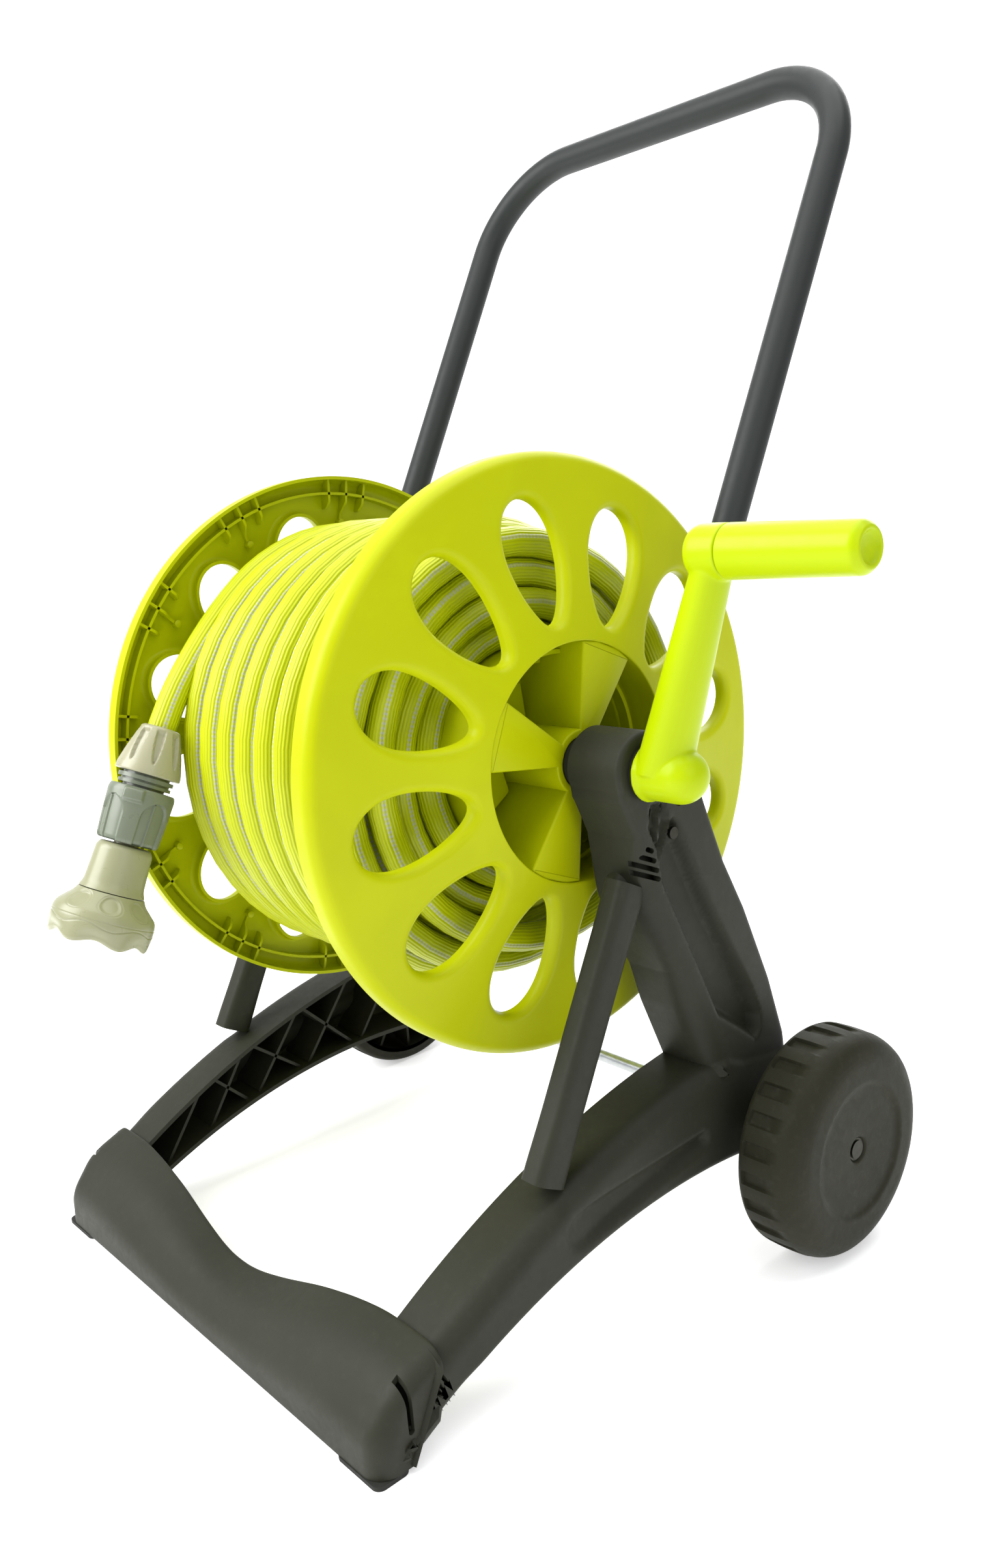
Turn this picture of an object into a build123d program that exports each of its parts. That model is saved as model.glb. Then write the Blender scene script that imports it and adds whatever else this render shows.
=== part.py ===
"""Garden hose reel cart, in millimetres, +Z up, standing on the floor at Z = 0.

X runs along the reel's axis towards the crank, +Y runs from the foot bar back to the wheels.
The origin is on the floor under the middle of the cart's box, the hose left out.
The sub-part blocks below give their places from the reel's axis, with cart_x and cart_y
moving them into this frame.
"""
from build123d import *
from math import atan2, cos, degrees, hypot, pi, radians, sin, tan
import os

os.makedirs("parts", exist_ok=True)

# ---------------------------------------------------------------- driving dimensions
reel_height = 326.0
axle_y = 106.0
axle_radius = 5.0
wheel_radius = 72.0
wheel_inner = 209.5
wheel_width = 41.5
foot_front = 226.5

running_gap = 0.05
fit_gap = 0.2
body_gap = 0.5

frame_inner = 143.0
frame_width = 44.0
frame_wall = 3.5
rib_wall = 2.5
housing_radius = 23.0
axle_boss_radius = 27.0
strut_width = 18.0
strut_depth = 22.0
strut_inner = 162.0

handle_radius = 10.0
handle_wall = 1.5
handle_half_span = 163.7
handle_top_y = 254.3
handle_top_z = 735.0
handle_lean = 27.6
handle_bend = 68.0
handle_foot_z = 256.0

flange_radius = 180.0
flange_face = 126.0
flange_wall = 3.0
flange_holes = 12
hole_phase = 7.3
hole_outer_r = 138.0
hole_outer_size = 20.0
hole_inner_r = 94.0
hole_inner_size = 11.0
hole_lip = 3.0
drum_radius = 66.0
drum_wall = 2.5
pocket_depth = 45.0
spoke_count = 4

journal_radius = 15.0
bush_wall = 3.0
water_bore = 6.0

crank_start = 188.0
crank_throw = 120.0
crank_lean = 32.0
crank_boss_radius = 15.5
crank_boss_length = 23.0
grip_radius = 13.5
grip_length = 83.0
grip_end = 333.0
grip_pin_radius = 5.0

screw_radius = 1.8
screw_length = 12.0
screw_head = 2.0

hose_radius = 9.0
winding_left = 96.0
winding_right = 101.0
winding_radius = 149.0
winding_near_radius = 138.5
winding_step = 76.5
tail_x = -86.0
nozzle_x = -78.0

# ---------------------------------------------------------------- derived places
axle_height = wheel_radius
wheel_outer = wheel_inner + wheel_width
frame_outer = frame_inner + frame_width
cart_x = -(grip_end - wheel_outer) / 2
cart_y = -(handle_top_y + handle_radius - foot_front) / 2
tail_seat_radius = winding_radius - 2 * hose_radius + 0.5
bush_radius = journal_radius + running_gap + bush_wall

sides = {"right": 1, "left": -1}


def across(x):
    """Plane of a side profile at x: local x is +Y and local y is +Z, from the reel's axis."""
    return Plane(origin=(cart_x + x, cart_y, 0), x_dir=(0, 1, 0), z_dir=(1, 0, 0))


def turning(y, z, side=1):
    """Plane through a crosswise axis: local x runs outwards on that side, local y is radius."""
    return Plane(origin=(cart_x, cart_y + y, z), x_dir=(side, 0, 0), z_dir=(0, -side, 0))


def radial(side, angle):
    """Plane through the reel's axis at an angle: local x runs outwards, local y is radius."""
    a = radians(angle)
    normal = (0, -side * sin(a), side * cos(a))
    return Plane(origin=(cart_x, cart_y, reel_height), x_dir=(side, 0, 0), z_dir=normal)


def polygon(plane, points):
    """A face with straight sides."""
    with BuildSketch(plane) as face:
        with BuildLine():
            Polyline(*points, close=True)
        make_face()
    return face.sketch


def turn(plane, points, mode=Mode.ADD):
    """Revolve (along, radius) points about the plane's local x, into the open part."""
    revolve(polygon(plane, points), axis=Axis(plane.origin, plane.x_dir), mode=mode)


def ring(plane, start, end, inner, outer, mode=Mode.ADD):
    """A plain ring or sleeve from start to end along the plane's local x."""
    turn(plane, [(start, inner), (end, inner), (end, outer), (start, outer)], mode)


def rod(plane, start, end, radius, mode=Mode.ADD):
    """A plain round bar along the plane's local x."""
    ring(plane, start, end, 0, radius, mode)


def slab(points, start, end, mode=Mode.ADD):
    """A side profile with straight sides, from x = start to x = end."""
    extrude(polygon(across(start), points), amount=end - start, mode=mode)


def write(piece, name):
    """Label a finished piece and write it."""
    piece.label = name
    export_step(piece, f"parts/{name}.step")


hub_line = turning(0, reel_height)
axle_line = turning(axle_y, axle_height)
middle = Plane(origin=(cart_x, 0, 0), z_dir=(1, 0, 0))

# ---------------------------------------------------------------- handle tube route
lean = tan(radians(handle_lean))


def handle_point(side, z):
    """A point on a handle leg's centre line."""
    y = handle_top_y - (handle_top_z - z) * lean
    return (cart_x + side * handle_half_span, cart_y + y, z)


def leg_plane(side, z):
    """Plane square to a handle leg, its normal up along the leg."""
    up = (0, sin(radians(handle_lean)), cos(radians(handle_lean)))
    return Plane(origin=handle_point(side, z), x_dir=(1, 0, 0), z_dir=up)


handle_screw_z = (286.0, 312.0)
inlet_face = frame_outer + 0.2
inlet_screw_offset = 20.5


def screw_line(side, z):
    """Plane of a cross screw through a handle leg, its local x running outwards."""
    origin = handle_point(side, z)
    return Plane(origin=origin, x_dir=(side, 0, 0), z_dir=(0, -side, 0))


def inlet_screw_line(side):
    """Plane of an inlet flange screw on the left, above or below the hub."""
    return turning(0, reel_height + side * inlet_screw_offset, -1)


# The foot bar's sections: place along X, back edge, top and height of its upright front band.
bar_low = 2.5
bar_sections = [(0, -190, 33, 14), (60, -187, 37, 15), (110, -180, 47, 20), (frame_inner - 1, -178, 60, 26),
                (frame_outer, -178, 60, 26)]
bar_foot_y = -202.0


def bar_back(z):
    """The foot bar's back face at its ends, where the side frames meet it."""
    back, top = bar_sections[-1][1:3]
    return back + (bar_foot_y - back) * (top - z) / (top - bar_low)


# ---------------------------------------------------------------- side frames
# The frame is a moulded shell, open towards the reel: hub housing, post and rear leg,
# front strut and arched lower member.
post = [(-22, 316), (-10, 288), (-5, 250), (5, 225), (19, 198), (27, 172), (49, 120), (60, 90),
        (126, 90), (121, 129), (107, 171), (84, 224), (66, 258), (50, 298), (40, 326), (21, 334)]
seam_top = (bar_back(53) + 0.1, 53)
seam_foot = (bar_back(14) + 0.1, 14)
strut_top = (-4, 266)
strut_foot = (-95, 92)
socket_radius = 14.0
socket_top_z = 344.0
boss_end = wheel_inner - 0.8
boss_radius = 13.0
tongue = {"inner": 150.0, "outer": 180.0, "front": -213.0, "back": -186.0, "low": 15.0, "high": 27.0}
frame_ribs = [((-170, 20), (-120, 90)), ((-128, 40), (-88, 100)), ((-88, 50), (-128, 90)),
              ((-88, 50), (-40, 112)), ((-40, 60), (-88, 98)), ((-40, 60), (10, 125)),
              ((10, 62), (-40, 112)), ((10, 62), (60, 130)), ((30, 175), (112, 160)),
              ((40, 150), (95, 215)), ((15, 215), (90, 215)), ((0, 245), (75, 245))]

with BuildSketch(across(frame_inner)) as frame_outline:
    with Locations((0, reel_height)):
        Circle(housing_radius)
    with BuildLine():
        Polyline(*post, close=True)
    make_face()
    with BuildLine():
        ThreePointArc((60, 131), (-50, 110), (-172, 56))
        Polyline((-172, 56), seam_top, seam_foot, (-183, 21), (-167, 26))
        ThreePointArc((-167, 26), (-49, 60), (80, 60))
        Line((80, 60), (60, 131))
    make_face()
    with Locations((axle_y, axle_height)):
        Circle(axle_boss_radius)

with BuildSketch(across(frame_inner)) as frame_cavity:
    add(frame_outline.sketch_local)
    offset(amount=-frame_wall, mode=Mode.REPLACE)

strut_line = (strut_foot[0] - strut_top[0], strut_foot[1] - strut_top[1])
strut_length = hypot(*strut_line)
strut_angle = degrees(atan2(strut_line[1], strut_line[0]))
strut_middle = ((strut_top[0] + strut_foot[0]) / 2, (strut_top[1] + strut_foot[1]) / 2)

with BuildPart() as frame_web:
    with BuildSketch(across(frame_inner)):
        for start, end in frame_ribs:
            run = (end[0] - start[0], end[1] - start[1])
            with Locations(((start[0] + end[0]) / 2, (start[1] + end[1]) / 2)):
                Rectangle(hypot(*run), rib_wall, rotation=degrees(atan2(run[1], run[0])))
    extrude(amount=frame_width - frame_wall)
    extrude(frame_cavity.sketch, amount=frame_width - frame_wall, mode=Mode.INTERSECT)

with BuildPart() as side_frame_right:
    extrude(frame_outline.sketch, amount=frame_width)
    extrude(frame_cavity.sketch, amount=frame_width - frame_wall, mode=Mode.SUBTRACT)
    add(frame_web.part)
    with BuildSketch(across(strut_inner)):
        with Locations(strut_middle):
            Rectangle(strut_length, strut_depth, rotation=strut_angle)
    extrude(amount=strut_width)
    with BuildSketch(across(strut_inner)):
        with Locations(strut_middle):
            Rectangle(strut_length - 24, strut_depth - 2 * frame_wall, rotation=strut_angle)
    extrude(amount=strut_width - frame_wall, mode=Mode.SUBTRACT)
    with BuildSketch(leg_plane(1, handle_foot_z - 6)):
        Circle(socket_radius)
    extrude(amount=(socket_top_z - handle_foot_z + 6) / cos(radians(handle_lean)))
    rod(hub_line, frame_inner + 6, frame_outer - 2, housing_radius)
    rod(axle_line, frame_inner, boss_end, boss_radius)
    slab([(tongue["front"], tongue["low"]), (tongue["back"], tongue["low"]),
          (tongue["back"], tongue["high"]), (tongue["front"], tongue["high"])],
         tongue["inner"], tongue["outer"])
    rod(hub_line, frame_inner - 1, frame_outer + 1, bush_radius, Mode.SUBTRACT)
    rod(axle_line, frame_inner - 1, boss_end + 1, axle_radius, Mode.SUBTRACT)
    with BuildSketch(leg_plane(1, handle_foot_z)):
        Circle(handle_radius)
    extrude(amount=120, mode=Mode.SUBTRACT)
    for z in handle_screw_z:
        rod(screw_line(1, z), -3, frame_outer - handle_half_span + 1, screw_radius, Mode.SUBTRACT)
        rod(screw_line(1, z), frame_outer - handle_half_span - 2.4, frame_outer - handle_half_span + 1,
            2 * screw_radius, Mode.SUBTRACT)

with BuildPart() as side_frame_left:
    mirror(side_frame_right.part, about=middle)
    for side in (-1, 1):
        rod(inlet_screw_line(side), frame_outer - 12, frame_outer + 1, screw_radius, Mode.SUBTRACT)

with BuildPart() as handle_screws:
    for side in sides.values():
        for z in handle_screw_z:
            head = frame_outer - handle_half_span - 2.4
            rod(screw_line(side, z), 0, head, screw_radius)
            rod(screw_line(side, z), head, head + screw_head, 2 * screw_radius)

with BuildPart() as inlet_screws:
    for side in (-1, 1):
        rod(inlet_screw_line(side), frame_outer - 10, inlet_face + 4, screw_radius)
        rod(inlet_screw_line(side), inlet_face + 4, inlet_face + 4 + screw_head, 2 * screw_radius)

# ---------------------------------------------------------------- front foot bar
bar_half = frame_outer


def bar_outline(x, back, top, band, inset):
    """The bar's section at x, inset all round for its hollow, which runs out below."""
    low = bar_low if inset == 0 else bar_low - 1
    middle_y = (back - foot_front) / 2 - 4
    middle_z = (band + top) / 2 + 5
    return [(-foot_front + inset, low), (-foot_front + 1.5 + inset, band - inset / 2),
            (middle_y, middle_z - 1.25 * inset), (back - 0.6 * inset, top - 1.3 * inset),
            (bar_foot_y - 1.1 * inset, low)]


def bar_body(inset):
    """The bar, or its hollow, lofted from one end to the other."""
    end = bar_half - inset
    rows = [(min(x, end), *rest) for x, *rest in bar_sections]
    stations = [(-x, *rest) for x, *rest in reversed(rows[1:])] + rows
    with BuildPart() as body:
        for x, *rest in stations:
            with BuildSketch(across(x)):
                with BuildLine():
                    Polyline(*bar_outline(x, *rest, inset), close=True)
                make_face()
        loft(ruled=True)
    return body.part


slot_y = -209.0
slot_low = 14.0
slot_length = 30.0
slot_width = 4.0

with BuildPart() as front_foot_bar:
    add(bar_body(0))
    add(bar_body(frame_wall), mode=Mode.SUBTRACT)
    for side in sides.values():
        low, high = sorted((side * (tongue["inner"] - fit_gap), side * (tongue["outer"] + fit_gap)))
        slab([(tongue["front"] - fit_gap, tongue["low"] - fit_gap), (-180, tongue["low"] - fit_gap),
              (-180, tongue["high"] + fit_gap), (tongue["front"] - fit_gap, tongue["high"] + fit_gap)],
             low, high, Mode.SUBTRACT)
        with BuildSketch(across(side * bar_half)):
            with Locations((slot_y, slot_low + slot_length / 2)):
                SlotOverall(slot_length, slot_width, rotation=90)
        extrude(amount=frame_wall + 1, both=True, mode=Mode.SUBTRACT)
    for x in (-90, -30, 30, 90):
        with BuildSketch(across(x)):
            with BuildLine():
                Polyline((-224.5, 4), (-223.5, 12), (-209, 24), (-194, 30), (-203, 4), close=True)
            make_face()
        extrude(amount=rib_wall / 2, both=True)

pad_length = 38.0
pad_depth = 22.0
with BuildPart() as foot_pads:
    with BuildSketch(Plane.XY):
        for side in sides.values():
            pad_x = cart_x + side * (bar_half - pad_length / 2)
            with Locations((pad_x, cart_y - foot_front + pad_depth / 2)):
                RectangleRounded(pad_length, pad_depth, 5)
    extrude(amount=bar_low)

# ---------------------------------------------------------------- handle
with BuildPart() as handle_tube:
    corners = [handle_point(-1, handle_foot_z), handle_point(-1, handle_top_z),
               handle_point(1, handle_top_z), handle_point(1, handle_foot_z)]
    with BuildLine() as handle_route:
        FilletPolyline(*corners, radius=handle_bend)
    with BuildSketch(leg_plane(-1, handle_foot_z)):
        Circle(handle_radius)
        Circle(handle_radius - handle_wall, mode=Mode.SUBTRACT)
    sweep(path=handle_route.wires()[0])
    for side in sides.values():
        for z in handle_screw_z:
            rod(screw_line(side, z), 0, handle_radius + 2, screw_radius, Mode.SUBTRACT)

collar_height = 9.0
with BuildPart() as handle_collars:
    for side in sides.values():
        with BuildSketch(leg_plane(side, socket_top_z)):
            Circle(socket_radius)
            Circle(handle_radius, mode=Mode.SUBTRACT)
        extrude(amount=collar_height, taper=12)

plug_length = 14.0
with BuildPart() as handle_end_plugs:
    for side in sides.values():
        with BuildSketch(leg_plane(side, handle_foot_z)):
            Circle(handle_radius - handle_wall)
        extrude(amount=plug_length)

# ---------------------------------------------------------------- hub bushes and water inlet
bush_flange = 2.0
bushes = {}
for name, side in sides.items():
    with BuildPart() as bush:
        line = turning(0, reel_height, side)
        ring(line, frame_inner + 6, frame_outer - 2, journal_radius + running_gap, bush_radius)
        ring(line, frame_inner + 6 - bush_flange, frame_inner + 6, journal_radius + running_gap,
             housing_radius - frame_wall - fit_gap)
    bushes[name] = bush.part

inlet_line = turning(0, reel_height, -1)
inlet_nose = 6.5
inlet_end = inlet_face + 36
spigot_start = 158.0
spigot_radius = water_bore - 0.1
water_way = 4.0
with BuildPart() as inlet_connector:
    turn(inlet_line, [(spigot_start, water_way), (inlet_end, water_way), (inlet_end, inlet_nose - 0.8),
                      (inlet_end - 0.8, inlet_nose), (inlet_end - 12, inlet_nose),
                      (inlet_end - 14, 8.5), (inlet_end - 19, 8.5), (inlet_end - 20, 6.8),
                      (inlet_end - 24, 6.8), (inlet_end - 25, 10), (inlet_face + 4, 10),
                      (inlet_face + 4, 26), (inlet_face, 26), (inlet_face, spigot_radius),
                      (spigot_start, spigot_radius)])
    for side in (-1, 1):
        rod(inlet_screw_line(side), inlet_face - 1, inlet_face + 5, screw_radius, Mode.SUBTRACT)
    groove = inlet_end - 9
    ring(inlet_line, groove, groove + 2.4, inlet_nose - 1.6, inlet_nose, Mode.SUBTRACT)
    ring(inlet_line, 166, 168.4, spigot_radius - 1.4, spigot_radius, Mode.SUBTRACT)

with BuildPart() as inlet_seals:
    ring(inlet_line, groove + 0.2, groove + 2.2, inlet_nose - 1.6, inlet_nose - 0.05)
    ring(inlet_line, 166.2, 168.2, spigot_radius - 1.4, spigot_radius - 0.02)

# ---------------------------------------------------------------- wheels and axle
axle_length_half = wheel_outer - 5.0
with BuildPart() as wheel_axle:
    rod(axle_line, -axle_length_half, axle_length_half, axle_radius)

wheel_bore = axle_radius + running_gap + 1.5
grooves = 24
wheel_ribs = 12
wheel_parts = {}
for name, side in sides.items():
    line = turning(axle_y, axle_height, side)
    start, end = wheel_inner, wheel_outer
    with BuildPart() as wheel:
        turn(line, [(start, wheel_radius - 8), (start, wheel_radius - 3), (start + 3, wheel_radius - 0.8),
                    (start + 16, wheel_radius), (start + 30, wheel_radius - 0.6),
                    (start + 38, wheel_radius - 4.5), (end, wheel_radius - 12), (end, 41),
                    (end - 2, 39), (end - 2, 9), (end - 3, 7.5), (end - 6, 7.5), (end - 6, wheel_bore),
                    (start, wheel_bore), (start, 12), (end - 7, 12), (end - 7, wheel_radius - 14),
                    (end - 10, wheel_radius - 8)])
        for rib in range(wheel_ribs):
            a = radians(360 / wheel_ribs * rib)
            normal = (0, -side * sin(a), side * cos(a))
            rib_plane = Plane(origin=line.origin, x_dir=(side, 0, 0), z_dir=normal)
            outline = polygon(rib_plane, [(start + 8, 11), (end - 6.5, 11), (end - 6.5, wheel_radius - 13),
                                          (end - 9, wheel_radius - 7), (start + 8, wheel_radius - 7)])
            extrude(outline, amount=rib_wall / 2, both=True)
        for groove_index in range(grooves):
            a = radians(360 / grooves * (groove_index + 0.5))
            normal = (0, -side * sin(a), side * cos(a))
            groove_plane = Plane(origin=line.origin, x_dir=(side, 0, 0), z_dir=normal)
            outline = polygon(groove_plane, [(start - 1, wheel_radius - 2.6),
                                             (start + 20, wheel_radius - 2.2),
                                             (start + 29, wheel_radius + 0.5),
                                             (start - 1, wheel_radius + 1)])
            extrude(outline, amount=3.6, both=True, mode=Mode.SUBTRACT)
    with BuildPart() as sleeve:
        ring(line, start, end - 6, axle_radius + running_gap, wheel_bore)
    wheel_parts[name] = (wheel.part, sleeve.part)

with BuildPart() as axle_caps:
    for side in sides.values():
        line = turning(axle_y, axle_height, side)
        ring(line, wheel_outer - 5.6, wheel_outer - 4.4, axle_radius, 7.2)
        rod(line, wheel_outer - 5, wheel_outer - 3.4, axle_radius)
        ring(line, wheel_outer - 5.6, wheel_outer - 3.4, axle_radius, axle_radius + 0.8)

# ---------------------------------------------------------------- reel drum and flanges
outlet_x = -40.0
screw_circle = drum_radius - 10
drum_screws_per_side = 4
outlet_line = Plane(origin=(cart_x + outlet_x, cart_y, reel_height), x_dir=(0, 0, 1), z_dir=(0, 1, 0))
with BuildPart() as drum_shell:
    seat = flange_face - 10
    ring(hub_line, -seat, seat, drum_radius - drum_wall, drum_radius)
    for side in sides.values():
        floor_line = turning(0, reel_height, side)
        floor_x = flange_face - pocket_depth
        ring(floor_line, floor_x - drum_wall, floor_x, journal_radius, drum_radius - 1)
        ring(floor_line, floor_x - 20, floor_x, journal_radius, journal_radius + 3)
        with BuildSketch(Plane(origin=(cart_x + side * (floor_x + 1), cart_y, reel_height),
                               x_dir=(0, 1, 0), z_dir=(side, 0, 0))):
            with PolarLocations(screw_circle, drum_screws_per_side, start_angle=hole_phase + 45):
                Circle(screw_radius)
        extrude(amount=-drum_wall - 2, mode=Mode.SUBTRACT)
    rod(outlet_line, 50, drum_radius + 4, hose_radius + fit_gap, Mode.SUBTRACT)

with BuildSketch() as teardrop:
    with Locations((hole_outer_r, 0)):
        Circle(hole_outer_size)
    with Locations((hole_inner_r, 0)):
        Circle(hole_inner_size)
    make_hull()

with BuildSketch() as teardrop_lip:
    add(teardrop.sketch)
    offset(amount=hole_lip)

rim_lip = 8.0
rib_angles = (-5.0, 0.0, 5.0)
shoulder = (flange_face - 6.5, flange_radius - 12)
under_shoulder = (flange_face - 6.5 - flange_wall, flange_radius - 13)
under_face = (flange_face - flange_wall, drum_radius)
rim_start = (flange_face - 15, flange_radius)
rim_end = rim_start[0] - rim_lip
rim_inside = flange_radius - 2.5
flanges = {}
for name, side in sides.items():
    line = turning(0, reel_height, side)
    hole_plane = Plane(origin=(cart_x + side * (flange_face - 14), cart_y, reel_height),
                       x_dir=(0, 1, 0), z_dir=(1, 0, 0))
    with BuildPart() as flange:
        with BuildSketch(line):
            with BuildLine():
                ThreePointArc((flange_face, drum_radius), (flange_face - 1, 120), shoulder)
                ThreePointArc(shoulder, (flange_face - 9.5, flange_radius - 3), rim_start)
                Polyline(rim_start, (rim_end, flange_radius), (rim_end, rim_inside),
                         (rim_start[0], rim_inside))
                ThreePointArc((rim_start[0], rim_inside), (flange_face - 12, flange_radius - 6),
                              under_shoulder)
                ThreePointArc(under_shoulder, (flange_face - flange_wall - 1, 120), under_face)
                Line(under_face, (flange_face, drum_radius))
            make_face()
        revolve(axis=Axis(line.origin, line.x_dir))
        with BuildSketch(hole_plane):
            with PolarLocations(0, flange_holes, start_angle=hole_phase):
                add(teardrop_lip.sketch)
        extrude(amount=side * 11)
        ring(line, flange_face - 17, flange_face - 7, 168, 170)
        ring(line, winding_right + 1, flange_face - 0.5, drum_radius, drum_radius + 3)
        for hole in range(flange_holes):
            for offset_angle in rib_angles:
                angle = hole_phase + 360 / flange_holes * (hole + 0.5) + offset_angle
                depth = 150 if offset_angle == 0 else 160
                rib = polygon(radial(side, angle), [(flange_face - 17, 169), (flange_face - 17, 178),
                                                    (flange_face - 14, 178), (flange_face - 7.5, 166),
                                                    (flange_face - 5, depth), (flange_face - 7, depth)])
                extrude(rib, amount=0.9, both=True)
        with BuildSketch(hole_plane):
            with PolarLocations(0, flange_holes, start_angle=hole_phase):
                add(teardrop.sketch)
        extrude(amount=side * 30, both=True, mode=Mode.SUBTRACT)
        ring(line, flange_face - pocket_depth, flange_face + 2, journal_radius, journal_radius + 5)
        for spoke in range(spoke_count):
            angle = hole_phase + 360 / spoke_count * spoke
            with BuildSketch(Plane(origin=(cart_x + side * (flange_face - 0.5), cart_y, reel_height),
                                   x_dir=(0, 1, 0), z_dir=(1, 0, 0))):
                with PolarLocations(0, 1, start_angle=angle):
                    Polygon((16, -5), (drum_radius + 1, -19), (drum_radius + 1, 19), (16, 5), align=None)
            extrude(amount=-side * (pocket_depth - 10))
            with BuildSketch(Plane(origin=(cart_x + side * (flange_face - pocket_depth), cart_y,
                                           reel_height),
                                   x_dir=(0, 1, 0), z_dir=(1, 0, 0))):
                with PolarLocations(0, 1, start_angle=angle):
                    Polygon((24, -4.5), (drum_radius - 3, -15), (drum_radius - 3, 15), (24, 4.5), align=None)
            extrude(amount=side * (pocket_depth - 4), mode=Mode.SUBTRACT)
        ring(line, flange_face - pocket_depth, seat, drum_radius - drum_wall, drum_radius, Mode.SUBTRACT)
        ring(line, flange_face - pocket_depth, winding_right + 1, drum_radius, drum_radius + 6,
             Mode.SUBTRACT)
    flanges[name] = flange.part

with BuildPart() as drum_screws:
    for side in sides.values():
        floor_plane = Plane(origin=(cart_x + side * (flange_face - pocket_depth), cart_y, reel_height),
                            x_dir=(0, 1, 0), z_dir=(side, 0, 0))
        with BuildSketch(floor_plane):
            with PolarLocations(screw_circle, drum_screws_per_side, start_angle=hole_phase + 45):
                Circle(screw_radius)
        extrude(amount=-screw_length)
        with BuildSketch(floor_plane):
            with PolarLocations(screw_circle, drum_screws_per_side, start_angle=hole_phase + 45):
                Circle(2 * screw_radius)
        extrude(amount=screw_head)

# ---------------------------------------------------------------- shafts and water outlet
shaft_start = 61.0
neck_radius = 9.0
neck_end = crank_start + 14
crank_pin_radius = 2.0
crank_pin_line = Plane(origin=(cart_x + crank_start + 8, cart_y, reel_height), x_dir=(0, 1, 0))
with BuildPart() as crank_shaft:
    rod(hub_line, shaft_start, crank_start - body_gap, journal_radius)
    rod(hub_line, crank_start - body_gap, neck_end, neck_radius)
    rod(crank_pin_line, -neck_radius - 1, neck_radius + 1, crank_pin_radius, Mode.SUBTRACT)

with BuildPart() as water_shaft:
    ring(inlet_line, shaft_start, inlet_face - body_gap, water_bore, journal_radius)

outlet_wall = 3.0
elbow_end = 52.0
with BuildPart() as outlet_elbow:
    rod(inlet_line, -outlet_x - water_bore - outlet_wall, shaft_start, water_bore + outlet_wall)
    rod(outlet_line, 0, elbow_end, water_bore + outlet_wall)
    rod(inlet_line, -outlet_x, shaft_start, water_bore, Mode.SUBTRACT)
    rod(outlet_line, 0, elbow_end, water_bore, Mode.SUBTRACT)

outlet_nut_wall = 3.5
outlet_nut_end = drum_radius - drum_wall - 2
with BuildPart() as outlet_nut:
    ring(outlet_line, elbow_end - 8, outlet_nut_end, hose_radius, hose_radius + outlet_nut_wall)

# ---------------------------------------------------------------- crank
crank_middle = cart_x + crank_start + 14
knuckle_x = cart_x + crank_start + 14 + crank_lean
knuckle_start = crank_start + 30.5
grip_start = grip_end - grip_length
grip_line = turning(0, reel_height + crank_throw)
pin_end = grip_end - 24
with BuildPart() as crank_arm:
    dome = crank_start + crank_boss_length
    with BuildSketch(hub_line):
        with BuildLine():
            Polyline((dome, 0), (crank_start + 0.2, 0), (crank_start + 0.2, crank_boss_radius + 1.5),
                     (crank_start + 3, crank_boss_radius + 1.5), (crank_start + 3, crank_boss_radius),
                     (dome, crank_boss_radius))
            ThreePointArc((dome, crank_boss_radius),
                          (dome + crank_boss_radius * cos(pi / 4), crank_boss_radius * sin(pi / 4)),
                          (dome + crank_boss_radius, 0))
            Line((dome + crank_boss_radius, 0), (dome, 0))
        make_face()
    revolve(axis=Axis(hub_line.origin, hub_line.x_dir))
    with BuildSketch(Plane(origin=(crank_middle, cart_y, reel_height + 2))):
        Ellipse(11.5, 17.5)
    with BuildSketch(Plane(origin=(knuckle_x, cart_y, reel_height + crank_throw))):
        Ellipse(13, 12.5)
    loft()
    rod(grip_line, knuckle_start, grip_start - body_gap, grip_radius + 0.5)
    fillet(crank_arm.faces().filter_by(GeomType.PLANE).sort_by(Axis.Z)[-1].edges(), 3)
    rod(hub_line, crank_start - 1, neck_end, neck_radius, Mode.SUBTRACT)
    rod(grip_line, knuckle_start + 6, grip_start, grip_pin_radius, Mode.SUBTRACT)
    rod(crank_pin_line, -crank_boss_radius - 4, crank_boss_radius + 4, crank_pin_radius, Mode.SUBTRACT)

with BuildPart() as crank_pin:
    rod(crank_pin_line, -crank_boss_radius + 0.5, crank_boss_radius - 0.5, crank_pin_radius)

with BuildPart() as grip_pin:
    rod(grip_line, knuckle_start + 6, pin_end, grip_pin_radius)
    rod(grip_line, pin_end, pin_end + 3, grip_pin_radius + 2)

cap_radius = 8.0
cap_depth = 6.0
with BuildPart() as crank_grip:
    turn(grip_line, [(grip_start, grip_pin_radius + running_gap), (grip_start, grip_radius - 1),
                     (grip_start + 1, grip_radius), (grip_end - 4, grip_radius),
                     (grip_end - 1.2, grip_radius - 1.2), (grip_end, grip_radius - 4),
                     (grip_end, cap_radius), (pin_end - body_gap, cap_radius),
                     (pin_end - body_gap, grip_pin_radius + running_gap)])

with BuildPart() as grip_cap:
    turn(grip_line, [(grip_end - cap_depth, 0), (grip_end - cap_depth, cap_radius), (grip_end, cap_radius),
                     (grip_end, 5), (grip_end - 1.4, 3.5), (grip_end - 1.6, 0)])

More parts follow.
